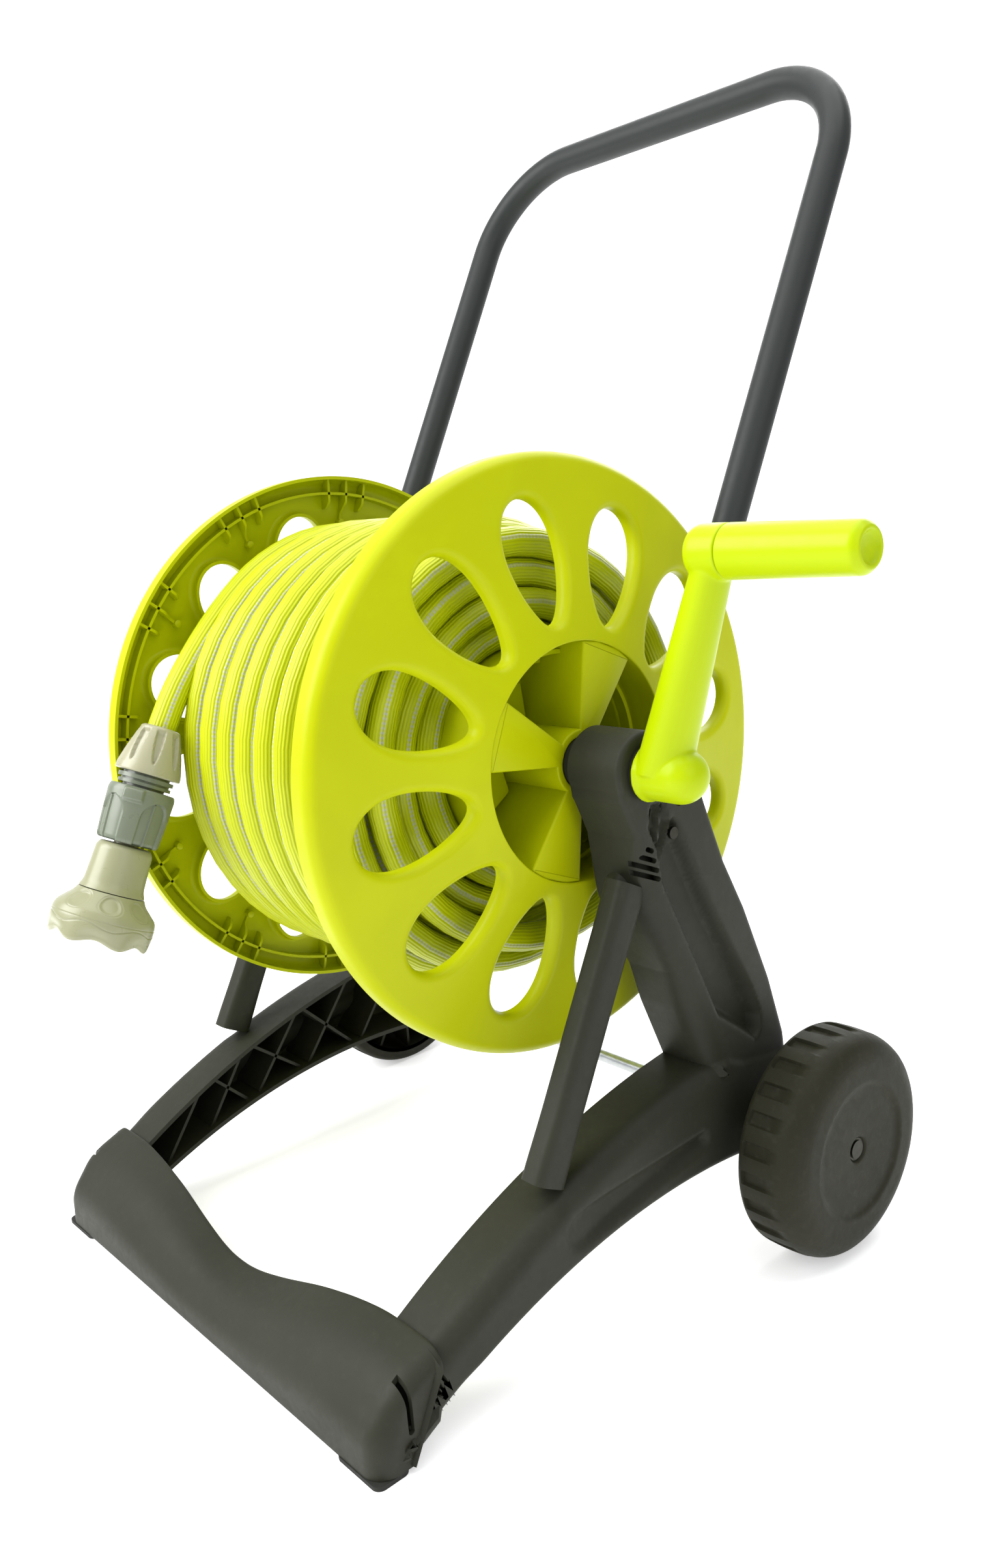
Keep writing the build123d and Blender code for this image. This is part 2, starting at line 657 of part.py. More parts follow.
# ---------------------------------------------------------------- hose
tail_angles = (96, 110, 124, 139)
tail_radius = tail_seat_radius + hose_radius
nut_place = (-157.5, 357.0)
nut_direction = (-0.45, -0.893)
hose_line = Plane(origin=(cart_x + nozzle_x, cart_y + nut_place[0], nut_place[1]),
                  x_dir=(0, *nut_direction), z_dir=(1, 0, 0))
hose_stop = 14.0
with BuildPart() as hose_winding:
    turn(hub_line, [(-winding_left, drum_radius), (winding_right, drum_radius),
                    (winding_right, winding_near_radius), (winding_right - 40, winding_radius),
                    (-winding_step, winding_radius), (-winding_step, tail_seat_radius),
                    (-winding_left, tail_seat_radius)])
    rod(outlet_line, elbow_end, drum_radius + 3, hose_radius)


def on_nut_axis(along):
    """A point of the connector's axis, measured from the nut's hose end."""
    return hose_line.from_local_coords((along, 0, 0))


wound = [Vector(cart_x + tail_x, cart_y + tail_radius * cos(radians(a)),
                reel_height + tail_radius * sin(radians(a))) for a in tail_angles]
hanging = [Vector(cart_x + nozzle_x - 2, cart_y - 133, reel_height + 66)]
tail_points = wound + hanging + [on_nut_axis(-12), on_nut_axis(hose_stop)]
tail_radii = []
for before, here, after in zip(tail_points, tail_points[1:], tail_points[2:]):
    turn_angle = radians((here - before).get_angle(after - here))
    shorter = min((here - before).length, (after - here).length)
    tail_radii.append(0.45 * shorter / tan(turn_angle / 2))
print("hose tail arc radii", [round(r) for r in tail_radii])

with BuildPart() as hose_tail:
    with BuildLine() as tail_route:
        FilletPolyline(*tail_points, radius=tail_radii)
    with BuildSketch(Plane(origin=tail_points[0], z_dir=tail_points[1] - tail_points[0])):
        Circle(hose_radius)
    sweep(path=tail_route.wires()[0])
tail_length = sum(edge.length for edge in tail_route.edges())
print("hose tail volume over section times length",
      hose_tail.part.volume / (pi * hose_radius ** 2 * tail_length))

# ---------------------------------------------------------------- hose connector and nozzle
nut_end = 31.0
thread_radius = 14.5
barrel_radius = 13.0
nose_radius = 8.0
connector_bore = 4.5
collar_start = 40.0
collar_end = 75.0
nose_start = 59.0
nozzle_start = 76.5
head_start = 107.0
nozzle_end = 139.0
with BuildPart() as connector_nut:
    turn(hose_line, [(0, hose_radius), (0, 11.5), (4, 13.5), (26, 20), (nut_end, 20.5),
                     (nut_end, thread_radius), (hose_stop + 1, thread_radius), (hose_stop + 1, hose_radius)])

with BuildPart() as connector_body:
    turn(hose_line, [(hose_stop, connector_bore), (hose_stop, hose_radius), (hose_stop + 1, hose_radius),
                     (hose_stop + 1, thread_radius), (nut_end + 1.5, thread_radius),
                     (nut_end + 1.5, 17.2), (nut_end + 4, 17.2), (nut_end + 4, 15), (nut_end + 5.5, 15),
                     (nut_end + 5.5, 16.5), (nut_end + 7.5, 16.5), (nut_end + 7.5, barrel_radius),
                     (collar_end - 1, barrel_radius), (collar_end - 1, nose_radius),
                     (nose_start - 1, nose_radius), (nose_start - 1, connector_bore)])

with BuildPart() as connector_collar:
    turn(hose_line, [(collar_start, 17.8), (collar_start, 20), (collar_start + 3, 20.8),
                     (collar_end - 3, 19.3), (collar_end, 18.3), (collar_end, barrel_radius + running_gap),
                     (collar_start + 8, barrel_radius + running_gap), (collar_start + 8, 17.8)])

seal_at = nose_start + 5
with BuildPart() as nozzle_body:
    turn(hose_line, [(nose_start, connector_bore), (nose_start, nose_radius - 0.1),
                     (nozzle_start, nose_radius - 0.1), (nozzle_start, 15.5), (nozzle_start + 3, 17.5),
                     (head_start - 4, 18.5), (head_start - body_gap, 20.5),
                     (head_start - body_gap, nose_radius), (nozzle_end - 11, nose_radius),
                     (nozzle_end - 11, connector_bore)])
    ring(hose_line, seal_at, seal_at + 2.4, nose_radius - 1.6, nose_radius, Mode.SUBTRACT)

with BuildPart() as nozzle_seal:
    ring(hose_line, seal_at + 0.2, seal_at + 2.2, nose_radius - 1.6, nose_radius - 0.02)

with BuildPart() as nozzle_head:
    turn(hose_line, [(head_start, nose_radius + running_gap), (head_start, 20.5), (head_start + 5, 25),
                     (head_start + 11, 30.5), (head_start + 17, 32), (head_start + 24, 31.5),
                     (nozzle_end, 30), (nozzle_end, 26), (nozzle_end - 9, 21),
                     (nozzle_end - 10.5, nose_radius + running_gap)])

# ---------------------------------------------------------------- write every piece
pieces = {
    "side_frame_right": side_frame_right.part,
    "side_frame_left": side_frame_left.part,
    "front_foot_bar": front_foot_bar.part,
    "foot_pads": foot_pads.part,
    "handle_tube": handle_tube.part,
    "handle_collars": handle_collars.part,
    "handle_end_plugs": handle_end_plugs.part,
    "handle_screws": handle_screws.part,
    "hub_bush_right": bushes["right"],
    "hub_bush_left": bushes["left"],
    "inlet_connector": inlet_connector.part,
    "inlet_seals": inlet_seals.part,
    "inlet_screws": inlet_screws.part,
    "wheel_axle": wheel_axle.part,
    "axle_caps": axle_caps.part,
    "drum_shell": drum_shell.part,
    "drum_screws": drum_screws.part,
    "crank_shaft": crank_shaft.part,
    "water_shaft": water_shaft.part,
    "outlet_elbow": outlet_elbow.part,
    "outlet_nut": outlet_nut.part,
    "crank_arm": crank_arm.part,
    "crank_pin": crank_pin.part,
    "grip_pin": grip_pin.part,
    "crank_grip": crank_grip.part,
    "grip_cap": grip_cap.part,
    "hose_winding": hose_winding.part,
    "hose_tail": hose_tail.part,
    "connector_nut": connector_nut.part,
    "connector_body": connector_body.part,
    "connector_collar": connector_collar.part,
    "nozzle_body": nozzle_body.part,
    "nozzle_seal": nozzle_seal.part,
    "nozzle_head": nozzle_head.part,
}
for name in sides:
    pieces[f"flange_{name}"] = flanges[name]
    pieces[f"wheel_{name}"], pieces[f"wheel_sleeve_{name}"] = wheel_parts[name]

for name, piece in pieces.items():
    write(piece, name)
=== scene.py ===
"""Looks of a garden hose reel cart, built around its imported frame.

The pieces are worked out in millimetres from the cart's own datum: X runs along the reel's axis
towards the crank, Y back towards the wheels and Z up from the floor, with the reel's axis at
X = Y = 0. to_frame() moves them into the frame, in metres.
"""

import math

import bmesh
import bpy
import numpy as np
from bpy.props import FloatProperty, FloatVectorProperty, IntProperty, PointerProperty
from mathutils import Matrix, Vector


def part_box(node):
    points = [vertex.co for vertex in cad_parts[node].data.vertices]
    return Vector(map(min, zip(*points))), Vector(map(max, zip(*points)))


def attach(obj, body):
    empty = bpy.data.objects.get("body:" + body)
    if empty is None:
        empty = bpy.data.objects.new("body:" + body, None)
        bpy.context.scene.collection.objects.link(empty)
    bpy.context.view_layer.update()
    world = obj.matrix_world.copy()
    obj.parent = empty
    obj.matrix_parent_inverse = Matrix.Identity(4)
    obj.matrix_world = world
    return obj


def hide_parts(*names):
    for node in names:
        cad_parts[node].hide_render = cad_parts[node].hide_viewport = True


bl_info = {
    "name": "Garden hose reel cart",
    "version": (1, 0, 0),
    "blender": (4, 5, 0),
    "location": "View3D > Sidebar > Hose Reel",
    "description": "Builds the shells, hose, wheels and finishes of a hose reel cart",
    "category": "Object",
}

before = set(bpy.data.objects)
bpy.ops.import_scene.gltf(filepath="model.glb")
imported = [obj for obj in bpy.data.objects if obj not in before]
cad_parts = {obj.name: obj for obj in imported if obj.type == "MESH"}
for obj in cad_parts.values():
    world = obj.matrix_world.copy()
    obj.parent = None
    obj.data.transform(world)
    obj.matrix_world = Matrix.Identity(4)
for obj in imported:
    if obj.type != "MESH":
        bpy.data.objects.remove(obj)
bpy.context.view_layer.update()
MM = 0.001

# ---------------------------------------------------------------- places, from the frame
drum_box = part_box("drum_shell")
axle_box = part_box("wheel_axle")
DATUM = np.array([(drum_box[0][0] + drum_box[1][0]) / 2, (drum_box[0][1] + drum_box[1][1]) / 2, 0.0])


def middle_of(box, way):
    """The middle of a frame box along one axis, in millimetres from the datum."""
    return round(((box[0][way] + box[1][way]) / 2 - DATUM[way]) / MM, 3)


REEL_Z = middle_of(drum_box, 2)
AXLE_Y = middle_of(axle_box, 1)
AXLE_Z = middle_of(axle_box, 2)

# ---------------------------------------------------------------- sizes, in millimetres
SIDES = {"right": 1, "left": -1}
FRAME_IN, FRAME_OUT = 146.0, 187.0
WALL = 3.2
HUB_R = 23.0
AXLE_BOSS_R = 27.0

DRUM_R = 66.0
FLANGE_R = 180.0
FLANGE_X = 126.0
FLANGE_WALL = 2.2
HOLES = 12
HOLE_PHASE = math.radians(7.3)
POCKET_X = 81.0

HANDLE_R = 10.0
HANDLE_HALF = 163.7
HANDLE_TOP = (254.3, 735.0)
HANDLE_LEAN = math.radians(27.6)
HANDLE_BEND = 68.0
HANDLE_FOOT_Z = 256.0
SOCKET_R = 14.0
SOCKET_TOP_Z = 344.0

WHEEL_IN = 209.5
WHEEL_R = 72.0

CRANK_X = 188.2
CRANK_R = 15.5
CRANK_THROW = 120.0
GRIP_START, GRIP_END = 250.0, 330.0
GRIP_R = 13.5
KNUCKLE_X, KNUCKLE_LENGTH = 227.7, 22

HOSE_R = 9.0
TAIL_X, NOZZLE_X = -86.0, -78.0
NUT_YZ = (-157.5, 357.0)
NUT_WAY = (-0.45, -0.893)


def linear(code):
    """An sRGB hex colour as linear red, green and blue."""
    values = np.array([int(code[i:i + 2], 16) for i in (0, 2, 4)]) / 255
    return tuple(np.where(values <= 0.04045, values / 12.92, ((values + 0.055) / 1.055) ** 2.4))


# ---------------------------------------------------------------- what a user would change
def colour(name, description, code):
    """A colour property from its hex value."""
    return FloatVectorProperty(name=name, description=description, subtype="COLOR", size=3,
                               min=0, max=1, default=linear(code))


def length(name, description, millimetres):
    """A length property from its size in millimetres."""
    return FloatProperty(name=name, description=description, unit="LENGTH", precision=4,
                         min=0, default=millimetres * MM)


class ReelColours(bpy.types.PropertyGroup):
    """Colours of the cart's plastics, paint and hose."""
    lime: colour("Lime", "Reel flanges and drum", "ACB400")
    crank: colour("Crank", "Crank arm and its grip", "A7BC00")
    shell: colour("Shell", "Side frames and foot bar", "2B2C23")
    paint: colour("Handle paint", "Coating of the handle tube", "2A2D2C")
    wheel: colour("Wheels", "Blow moulded wheels", "25251A")
    hose: colour("Hose", "Hose wall", "BAC400")
    stripe: colour("Hose stripe", "Braided stripes along the hose", "B4B69C")
    nut: colour("Nut", "Hose nut of the connector", "98967B")
    collar: colour("Collar", "Release collar of the connector", "6A7161")
    nozzle: colour("Nozzle", "Spray nozzle", "8C8D6E")


class ReelSizes(bpy.types.PropertyGroup):
    """Sizes of the details that the looks add to the frame."""
    soft_edge: length("Soft edge", "Radius of the side frames' upper outer edges", 14)
    firm_edge: length("Firm edge", "Radius of the side frames' lower outer edges", 5)
    hole_roll: length("Hole roll", "Radius that the flange rolls into its holes", 6)
    pocket_depth: length("Leg pocket", "Depth of the recess in the rear leg", 9)
    groove_depth: length("Tread groove", "Depth of the wheel's tread grooves", 2.6)
    tread_grooves: IntProperty(name="Tread grooves", description="Grooves round each wheel",
                               default=24, min=6, max=60)
    hose_ribs: IntProperty(name="Hose ribs", description="Ribs that run along the hose",
                           default=26, min=6, max=60)
    nut_flutes: IntProperty(name="Nut flutes", description="Finger flutes round the hose nut",
                            default=8, min=3, max=16)


# ---------------------------------------------------------------- shapes on grids
def to_frame(points):
    """Millimetres from the cart's datum, as metres in the frame."""
    return np.asarray(points, float) * MM + DATUM


def ease(value):
    """A smooth step from 0 to 1: 3t^2 - 2t^3 with t held between 0 and 1."""
    t = np.clip(value, 0, 1)
    return t * t * (3 - 2 * t)


def quads(rows, columns, around=False, loop=False):
    """The faces of a grid whose point (i, j) is number i * columns + j.

    around joins the last column to the first, loop the last row to the first.
    """
    i, j = np.meshgrid(np.arange(rows if loop else rows - 1),
                       np.arange(columns if around else columns - 1), indexing="ij")
    i_next, j_next = (i + 1) % rows, (j + 1) % columns
    corners = [i * columns + j, i * columns + j_next, i_next * columns + j_next, i_next * columns + j]
    return np.stack(corners, -1).reshape(-1, 4)


def sheet(points, around=False, loop=False):
    """A grid of points, rows by columns, with its faces."""
    return points.reshape(-1, 3), quads(points.shape[0], points.shape[1], around, loop)


def lid(points):
    """One flat face over a ring of points."""
    return points, np.arange(len(points))[None, :]


def capped(rings):
    """A tube through closed rings, with a lid on each end."""
    return [sheet(rings, around=True), lid(rings[0]), lid(rings[-1])]


def rounded(points, radius, steps=5):
    """A line through points whose inner corners are parabolas.

    Each leaves its two sides radius from the corner, or less on a short side; radius is one
    number or one for each inner corner.
    """
    points = np.asarray(points, float)
    radii = np.broadcast_to(radius, len(points) - 2)
    line = [points[:1]]
    t = np.linspace(0, 1, steps)[:, None]
    for before, here, after, r in zip(points, points[1:], points[2:], radii):
        back, on = before - here, after - here
        reach = min(r, 0.45 * np.linalg.norm(back), 0.45 * np.linalg.norm(on))
        start = here + back / np.linalg.norm(back) * reach
        end = here + on / np.linalg.norm(on) * reach
        line.append((1 - t) ** 2 * start + 2 * t * (1 - t) * here + t ** 2 * end)
    return np.concatenate(line + [points[-1:]])


def rounded_loop(points, radius, steps=5):
    """A closed outline whose corners are parabolas, as rounded() makes them."""
    points = np.asarray(points, float)
    around = np.concatenate([points[-1:], points, points[:1]])
    return rounded(around, radius, steps)[1:-1]


def even(profile, count):
    """The same outline with count points, evenly spaced by its run length."""
    run = np.concatenate([[0], np.cumsum(np.linalg.norm(np.diff(profile, axis=0), axis=1))])
    t = np.linspace(0, run[-1], count)
    return np.column_stack([np.interp(t, run, profile[:, k]) for k in (0, 1)])


def lathe(profile, start, along, up, steps=96, shape=None):
    """(along, radius) points turned about a line: start + a * along + r * (cos t * up + sin t * side).

    shape, if given, takes the grids of along, radius and angle and gives back along and radius.
    """
    profile = np.asarray(profile, float)
    angle = np.linspace(0, 2 * np.pi, steps, endpoint=False)
    a = np.repeat(profile[:, :1], steps, 1)
    r = np.repeat(profile[:, 1:], steps, 1)
    t = np.repeat(angle[None, :], len(profile), 0)
    if shape is not None:
        a, r = shape(a, r, t)
    along, up = np.asarray(along, float), np.asarray(up, float)
    along, up = along / np.linalg.norm(along), up / np.linalg.norm(up)
    side = np.cross(along, up)
    spot = np.asarray(start, float) + a[..., None] * along
    return spot + r[..., None] * (np.cos(t)[..., None] * up + np.sin(t)[..., None] * side)


def inset(outline, amount):
    """A closed outline moved inwards by amount along its corners' mean normals (outline runs left-handed
    or right-handed; positive is inwards)."""
    before, after = np.roll(outline, 1, 0), np.roll(outline, -1, 0)
    turn = np.sum(outline[:, 0] * after[:, 1] - after[:, 0] * outline[:, 1])
    first, second = outline - before, after - outline
    first = first / np.maximum(np.linalg.norm(first, axis=1, keepdims=True), 1e-9)
    second = second / np.maximum(np.linalg.norm(second, axis=1, keepdims=True), 1e-9)
    normals = [np.stack([-v[:, 1], v[:, 0]], 1) for v in (first, second)]
    mean = normals[0] + normals[1]
    mean = mean / np.maximum(np.sum(mean * normals[0], 1, keepdims=True), 0.4)
    return outline + np.sign(turn) * mean * amount


def prism(outline, low, high, edge, steps=4):
    """A plate with a rounded top edge: a (y, z) outline carried along X from low to high.

    At angle t of its edge the outline is inset by edge * (1 - cos t) at high - edge + edge * sin t.
    """
    t = np.linspace(0, np.pi / 2, steps)
    insets = np.concatenate([[0], edge * (1 - np.cos(t))])
    heights = np.concatenate([[low], high + np.sign(high - low) * edge * (np.sin(t) - 1)])
    rings = [np.column_stack([np.full(len(outline), x), inset(outline, e)]) for x, e in zip(heights, insets)]
    return capped(np.stack(rings))


def turned_yz(points, angle):
    """(x, radius, sideways) points set at an angle round the reel's axis, from +Y towards +Z."""
    x, r, s = np.moveaxis(np.asarray(points, float), -1, 0)
    return np.stack([x, r * np.cos(angle) - s * np.sin(angle),
                     REEL_Z + r * np.sin(angle) + s * np.cos(angle)], -1)


def mirrored(parts, side):
    """Parts as they are for the right, or with X changed in sign for the left."""
    return [(p * np.array([side, 1, 1]), f if side > 0 else f[:, ::-1]) for p, f in parts]


# ---------------------------------------------------------------- pieces
def make_mesh(name, parts, merge=0.01):
    """One mesh of all the parts, with doubles merged and faces turned outwards."""
    points, faces, count = [], [], 0
    for part_points, part_faces in parts:
        points.append(part_points.reshape(-1, 3))
        faces += (part_faces + count).tolist()
        count += len(points[-1])
    mesh = bpy.data.meshes.new(name)
    mesh.from_pydata(to_frame(np.concatenate(points)).tolist(), [], faces)
    work = bmesh.new()
    work.from_mesh(mesh)
    bmesh.ops.remove_doubles(work, verts=work.verts, dist=merge * MM)
    bmesh.ops.dissolve_degenerate(work, edges=work.edges, dist=0.002 * MM)
    bmesh.ops.recalc_face_normals(work, faces=work.faces)
    work.to_mesh(mesh)
    work.free()
    return mesh


def put(name, mesh):
    """An object of that mesh at the frame's origin."""
    piece = bpy.data.objects.new(name, mesh)
    bpy.context.scene.collection.objects.link(piece)
    return piece


def settle(piece):
    """Bakes a piece's modifiers into its mesh."""
    baked = bpy.data.meshes.new_from_object(piece.evaluated_get(bpy.context.evaluated_depsgraph_get()))
    piece.modifiers.clear()
    old = piece.data
    piece.data = baked
    bpy.data.meshes.remove(old)


def finish_piece(piece, material, body, nodes=(), sharp=38):
    """Smooth shading, material, body and the CAD nodes that the piece stands for."""
    piece.data.shade_smooth()
    piece.data.set_sharp_from_angle(angle=math.radians(sharp))
    piece.data.materials.clear()
    piece.data.materials.append(material)
    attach(piece, body)
    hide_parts(*nodes)
    return piece


def thicken(piece, wall):
    """Gives an open skin its wall, inwards."""
    solid = piece.modifiers.new("wall", "SOLIDIFY")
    solid.thickness = wall * MM
    solid.offset = -1
    solid.use_even_offset = False
    settle(piece)


def cut_out(piece, cutters):
    """Takes closed cutter parts away from a closed piece."""
    tool = put("cutter", make_mesh("cutter", cutters))
    knife = piece.modifiers.new("cut", "BOOLEAN")
    knife.operation = "DIFFERENCE"
    knife.solver = "MANIFOLD"
    knife.object = tool
    settle(piece)
    bpy.data.objects.remove(tool)


def face_out(mesh, way):
    """Turns an open skin's faces so that most of them look along way."""
    normals = np.zeros(len(mesh.polygons) * 3)
    areas = np.zeros(len(mesh.polygons))
    mesh.polygons.foreach_get("normal", normals)
    mesh.polygons.foreach_get("area", areas)
    if np.sum(normals.reshape(-1, 3) @ np.asarray(way, float) * areas) < 0:
        mesh.flip_normals()


# ---------------------------------------------------------------- materials
def add_node(tree, kind, settings=None, inputs=None):
    """Adds a node with its own settings, and sets or links its inputs by name or number."""
    node = tree.nodes.new(kind)
    for name, value in (settings or {}).items():
        setattr(node, name, value)
    for key, value in (inputs or {}).items():
        if isinstance(value, bpy.types.NodeSocket):
            tree.links.new(value, node.inputs[key])
        else:
            node.inputs[key].default_value = value
    return node


def per_metre(millimetres):
    """A texture's scale for features of that size."""
    return 1 / (millimetres * MM)


def opaque(rgb, share=1.0):
    """A linear colour with alpha, dimmed to a share."""
    return tuple(min(1.0, c * share) for c in rgb) + (1.0,)


def new_material(name, shader_values):
    """An empty material with a Principled shader whose constant sockets are set."""
    material = bpy.data.materials.new(name)
    material.use_nodes = True
    tree = material.node_tree
    tree.nodes.clear()
    shader = add_node(tree, "ShaderNodeBsdfPrincipled", inputs=shader_values)
    add_node(tree, "ShaderNodeOutputMaterial", inputs={"Surface": shader.outputs[0]})
    return material, tree, shader


def mix_colours(tree, share, first, second):
    """The colour between two, by a share."""
    mix = add_node(tree, "ShaderNodeMix", {"data_type": "RGBA"}, {0: share, 6: first, 7: second})
    return mix.outputs[2]


def moulded_plastic(name, rgb, roughness, grain, grain_height, mottling, dust=0.0, coat=0.0, shine=0.3):
    """Injection moulded plastic.

    It has the tool's fine spark-eroded grain as bump, slow flow marks in its colour and gloss,
    fine handling scratches in its roughness, and a little dust in its hollows.
    """
    material, tree, shader = new_material(name, {"IOR": 1.49, "Specular IOR Level": shine,
                                                 "Coat Weight": coat, "Coat Roughness": 0.25})
    place = add_node(tree, "ShaderNodeTexCoord").outputs["Object"]
    flow = add_node(tree, "ShaderNodeTexNoise", {"noise_dimensions": "3D"},
                    {"Vector": place, "Scale": per_metre(70), "Detail": 3.0, "Roughness": 0.55,
                     "Distortion": 0.6})
    share = add_node(tree, "ShaderNodeMapRange", inputs={"Value": flow.outputs[0], "From Min": 0.35,
                                                         "From Max": 0.65, "To Min": 0.0, "To Max": 1.0})
    base = mix_colours(tree, share.outputs[0], opaque(rgb, 1 - mottling), opaque(rgb, 1 + mottling))
    if dust > 0:
        hollow = add_node(tree, "ShaderNodeNewGeometry").outputs["Pointiness"]
        spots = add_node(tree, "ShaderNodeTexNoise", inputs={"Vector": place, "Scale": per_metre(5),
                                                             "Detail": 5.0})
        dusty = add_node(tree, "ShaderNodeMapRange", inputs={"Value": spots.outputs[0], "From Min": 0.55,
                                                             "From Max": 0.8, "To Min": 0.0, "To Max": dust})
        deep = add_node(tree, "ShaderNodeMapRange", inputs={"Value": hollow, "From Min": 0.46,
                                                            "From Max": 0.5, "To Min": 1.0, "To Max": 0.35})
        both = add_node(tree, "ShaderNodeMath", {"operation": "MULTIPLY"},
                        {0: dusty.outputs[0], 1: deep.outputs[0]})
        base = mix_colours(tree, both.outputs[0], base, opaque(linear("8C8A7C")))
    tree.links.new(base, shader.inputs["Base Color"])
    scratch = add_node(tree, "ShaderNodeTexNoise", inputs={"Vector": place, "Scale": per_metre(9),
                                                           "Detail": 6.0, "Roughness": 0.7,
                                                           "Distortion": 1.2})
    rough = add_node(tree, "ShaderNodeMapRange", inputs={"Value": scratch.outputs[0], "From Min": 0.3,
                                                         "From Max": 0.7, "To Min": roughness - 0.05,
                                                         "To Max": roughness + 0.07})
    tree.links.new(rough.outputs[0], shader.inputs["Roughness"])
    pebble = add_node(tree, "ShaderNodeTexNoise", inputs={"Vector": place, "Scale": per_metre(grain),
                                                          "Detail": 2.0, "Roughness": 0.6})
    bump = add_node(tree, "ShaderNodeBump", inputs={"Height": pebble.outputs[0], "Strength": 0.35,
                                                    "Distance": grain_height * MM})
    tree.links.new(bump.outputs[0], shader.inputs["Normal"])
    return material


def lime_polypropylene(rgb):
    """Injection moulded polypropylene, dyed through: waxy, half glossy, bright where light rakes it."""
    return moulded_plastic("lime_polypropylene", rgb, 0.38, 1.4, 0.04, 0.03, shine=0.14)


def crank_polypropylene(rgb):
    """The same plastic from a polished tool: smoother, with a clearer highlight."""
    return moulded_plastic("crank_polypropylene", rgb, 0.33, 2.4, 0.008, 0.015, shine=0.16)


def shell_polypropylene(rgb):
    """Polypropylene with talc, from a finely grained tool: satin dark grey that gathers dust."""
    return moulded_plastic("shell_polypropylene", rgb, 0.5, 0.9, 0.06, 0.06, dust=0.05, shine=0.16)


def wheel_polyethylene(rgb):
    """Blow moulded polyethylene: dull, slightly uneven, scuffed and dusty."""
    return moulded_plastic("wheel_polyethylene", rgb, 0.56, 1.2, 0.08, 0.09, dust=0.08, shine=0.14)


def nozzle_abs(name, rgb):
    """Moulded ABS with a fine pearl finish: smooth, with broad soft highlights."""
    return moulded_plastic(name, rgb, 0.3, 0.8, 0.015, 0.03, coat=0.12, shine=0.4)


def acetal(rgb):
    """Natural acetal, the off-white self-lubricating plastic of bushes and water fittings."""
    return moulded_plastic("acetal", rgb, 0.34, 1.0, 0.02, 0.02)


def powder_coat(rgb):
    """Powder coated steel tube: satin paint with a fine orange peel, about 1.5 mm from crest to crest."""
    return moulded_plastic("powder_coat", rgb, 0.44, 1.5, 0.04, 0.03, dust=0.02, shine=0.2)


def blackened_steel():
    """Blackened steel of small screws and axle caps: dark brown-grey, satin, a little uneven."""
    material, tree, shader = new_material("blackened_steel", {"Metallic": 1.0, "Roughness": 0.45})
    place = add_node(tree, "ShaderNodeTexCoord").outputs["Object"]
    cloud = add_node(tree, "ShaderNodeTexNoise", inputs={"Vector": place, "Scale": per_metre(3),
                                                         "Detail": 4.0})
    base = mix_colours(tree, cloud.outputs[0], opaque(linear("26261F")), opaque(linear("3C3B33")))
    tree.links.new(base, shader.inputs["Base Color"])
    bump = add_node(tree, "ShaderNodeBump", inputs={"Height": cloud.outputs[0], "Strength": 0.2,
                                                    "Distance": 0.02 * MM})
    tree.links.new(bump.outputs[0], shader.inputs["Normal"])
    return material


def soft_rubber(rgb):
    """Moulded rubber of seals and foot pads: matt black-grey with a dusty bloom."""
    return moulded_plastic("soft_rubber", rgb, 0.75, 0.7, 0.06, 0.08, dust=0.2)


def zinc_plate():
    """Zinc plated steel: bluish silver, finely brushed by the drawing die, with faint cloudy spots."""
    material, tree, shader = new_material("zinc_plate", {"Metallic": 1.0})
    place = add_node(tree, "ShaderNodeTexCoord").outputs["Object"]
    cloud = add_node(tree, "ShaderNodeTexNoise", inputs={"Vector": place, "Scale": per_metre(6),
                                                         "Detail": 4.0})
    base = mix_colours(tree, cloud.outputs[0], opaque(linear("A9ADB3")), opaque(linear("D2D5D8")))
    tree.links.new(base, shader.inputs["Base Color"])
    lines = add_node(tree, "ShaderNodeTexNoise", inputs={"Vector": place, "Scale": per_metre(0.8),
                                                         "Detail": 3.0})
    rough = add_node(tree, "ShaderNodeMapRange", inputs={"Value": lines.outputs[0], "To Min": 0.24,
                                                         "To Max": 0.46})
    tree.links.new(rough.outputs[0], shader.inputs["Roughness"])
    bump = add_node(tree, "ShaderNodeBump", inputs={"Height": lines.outputs[0], "Strength": 0.2,
                                                    "Distance": 0.02 * MM})
    tree.links.new(bump.outputs[0], shader.inputs["Normal"])
    return material


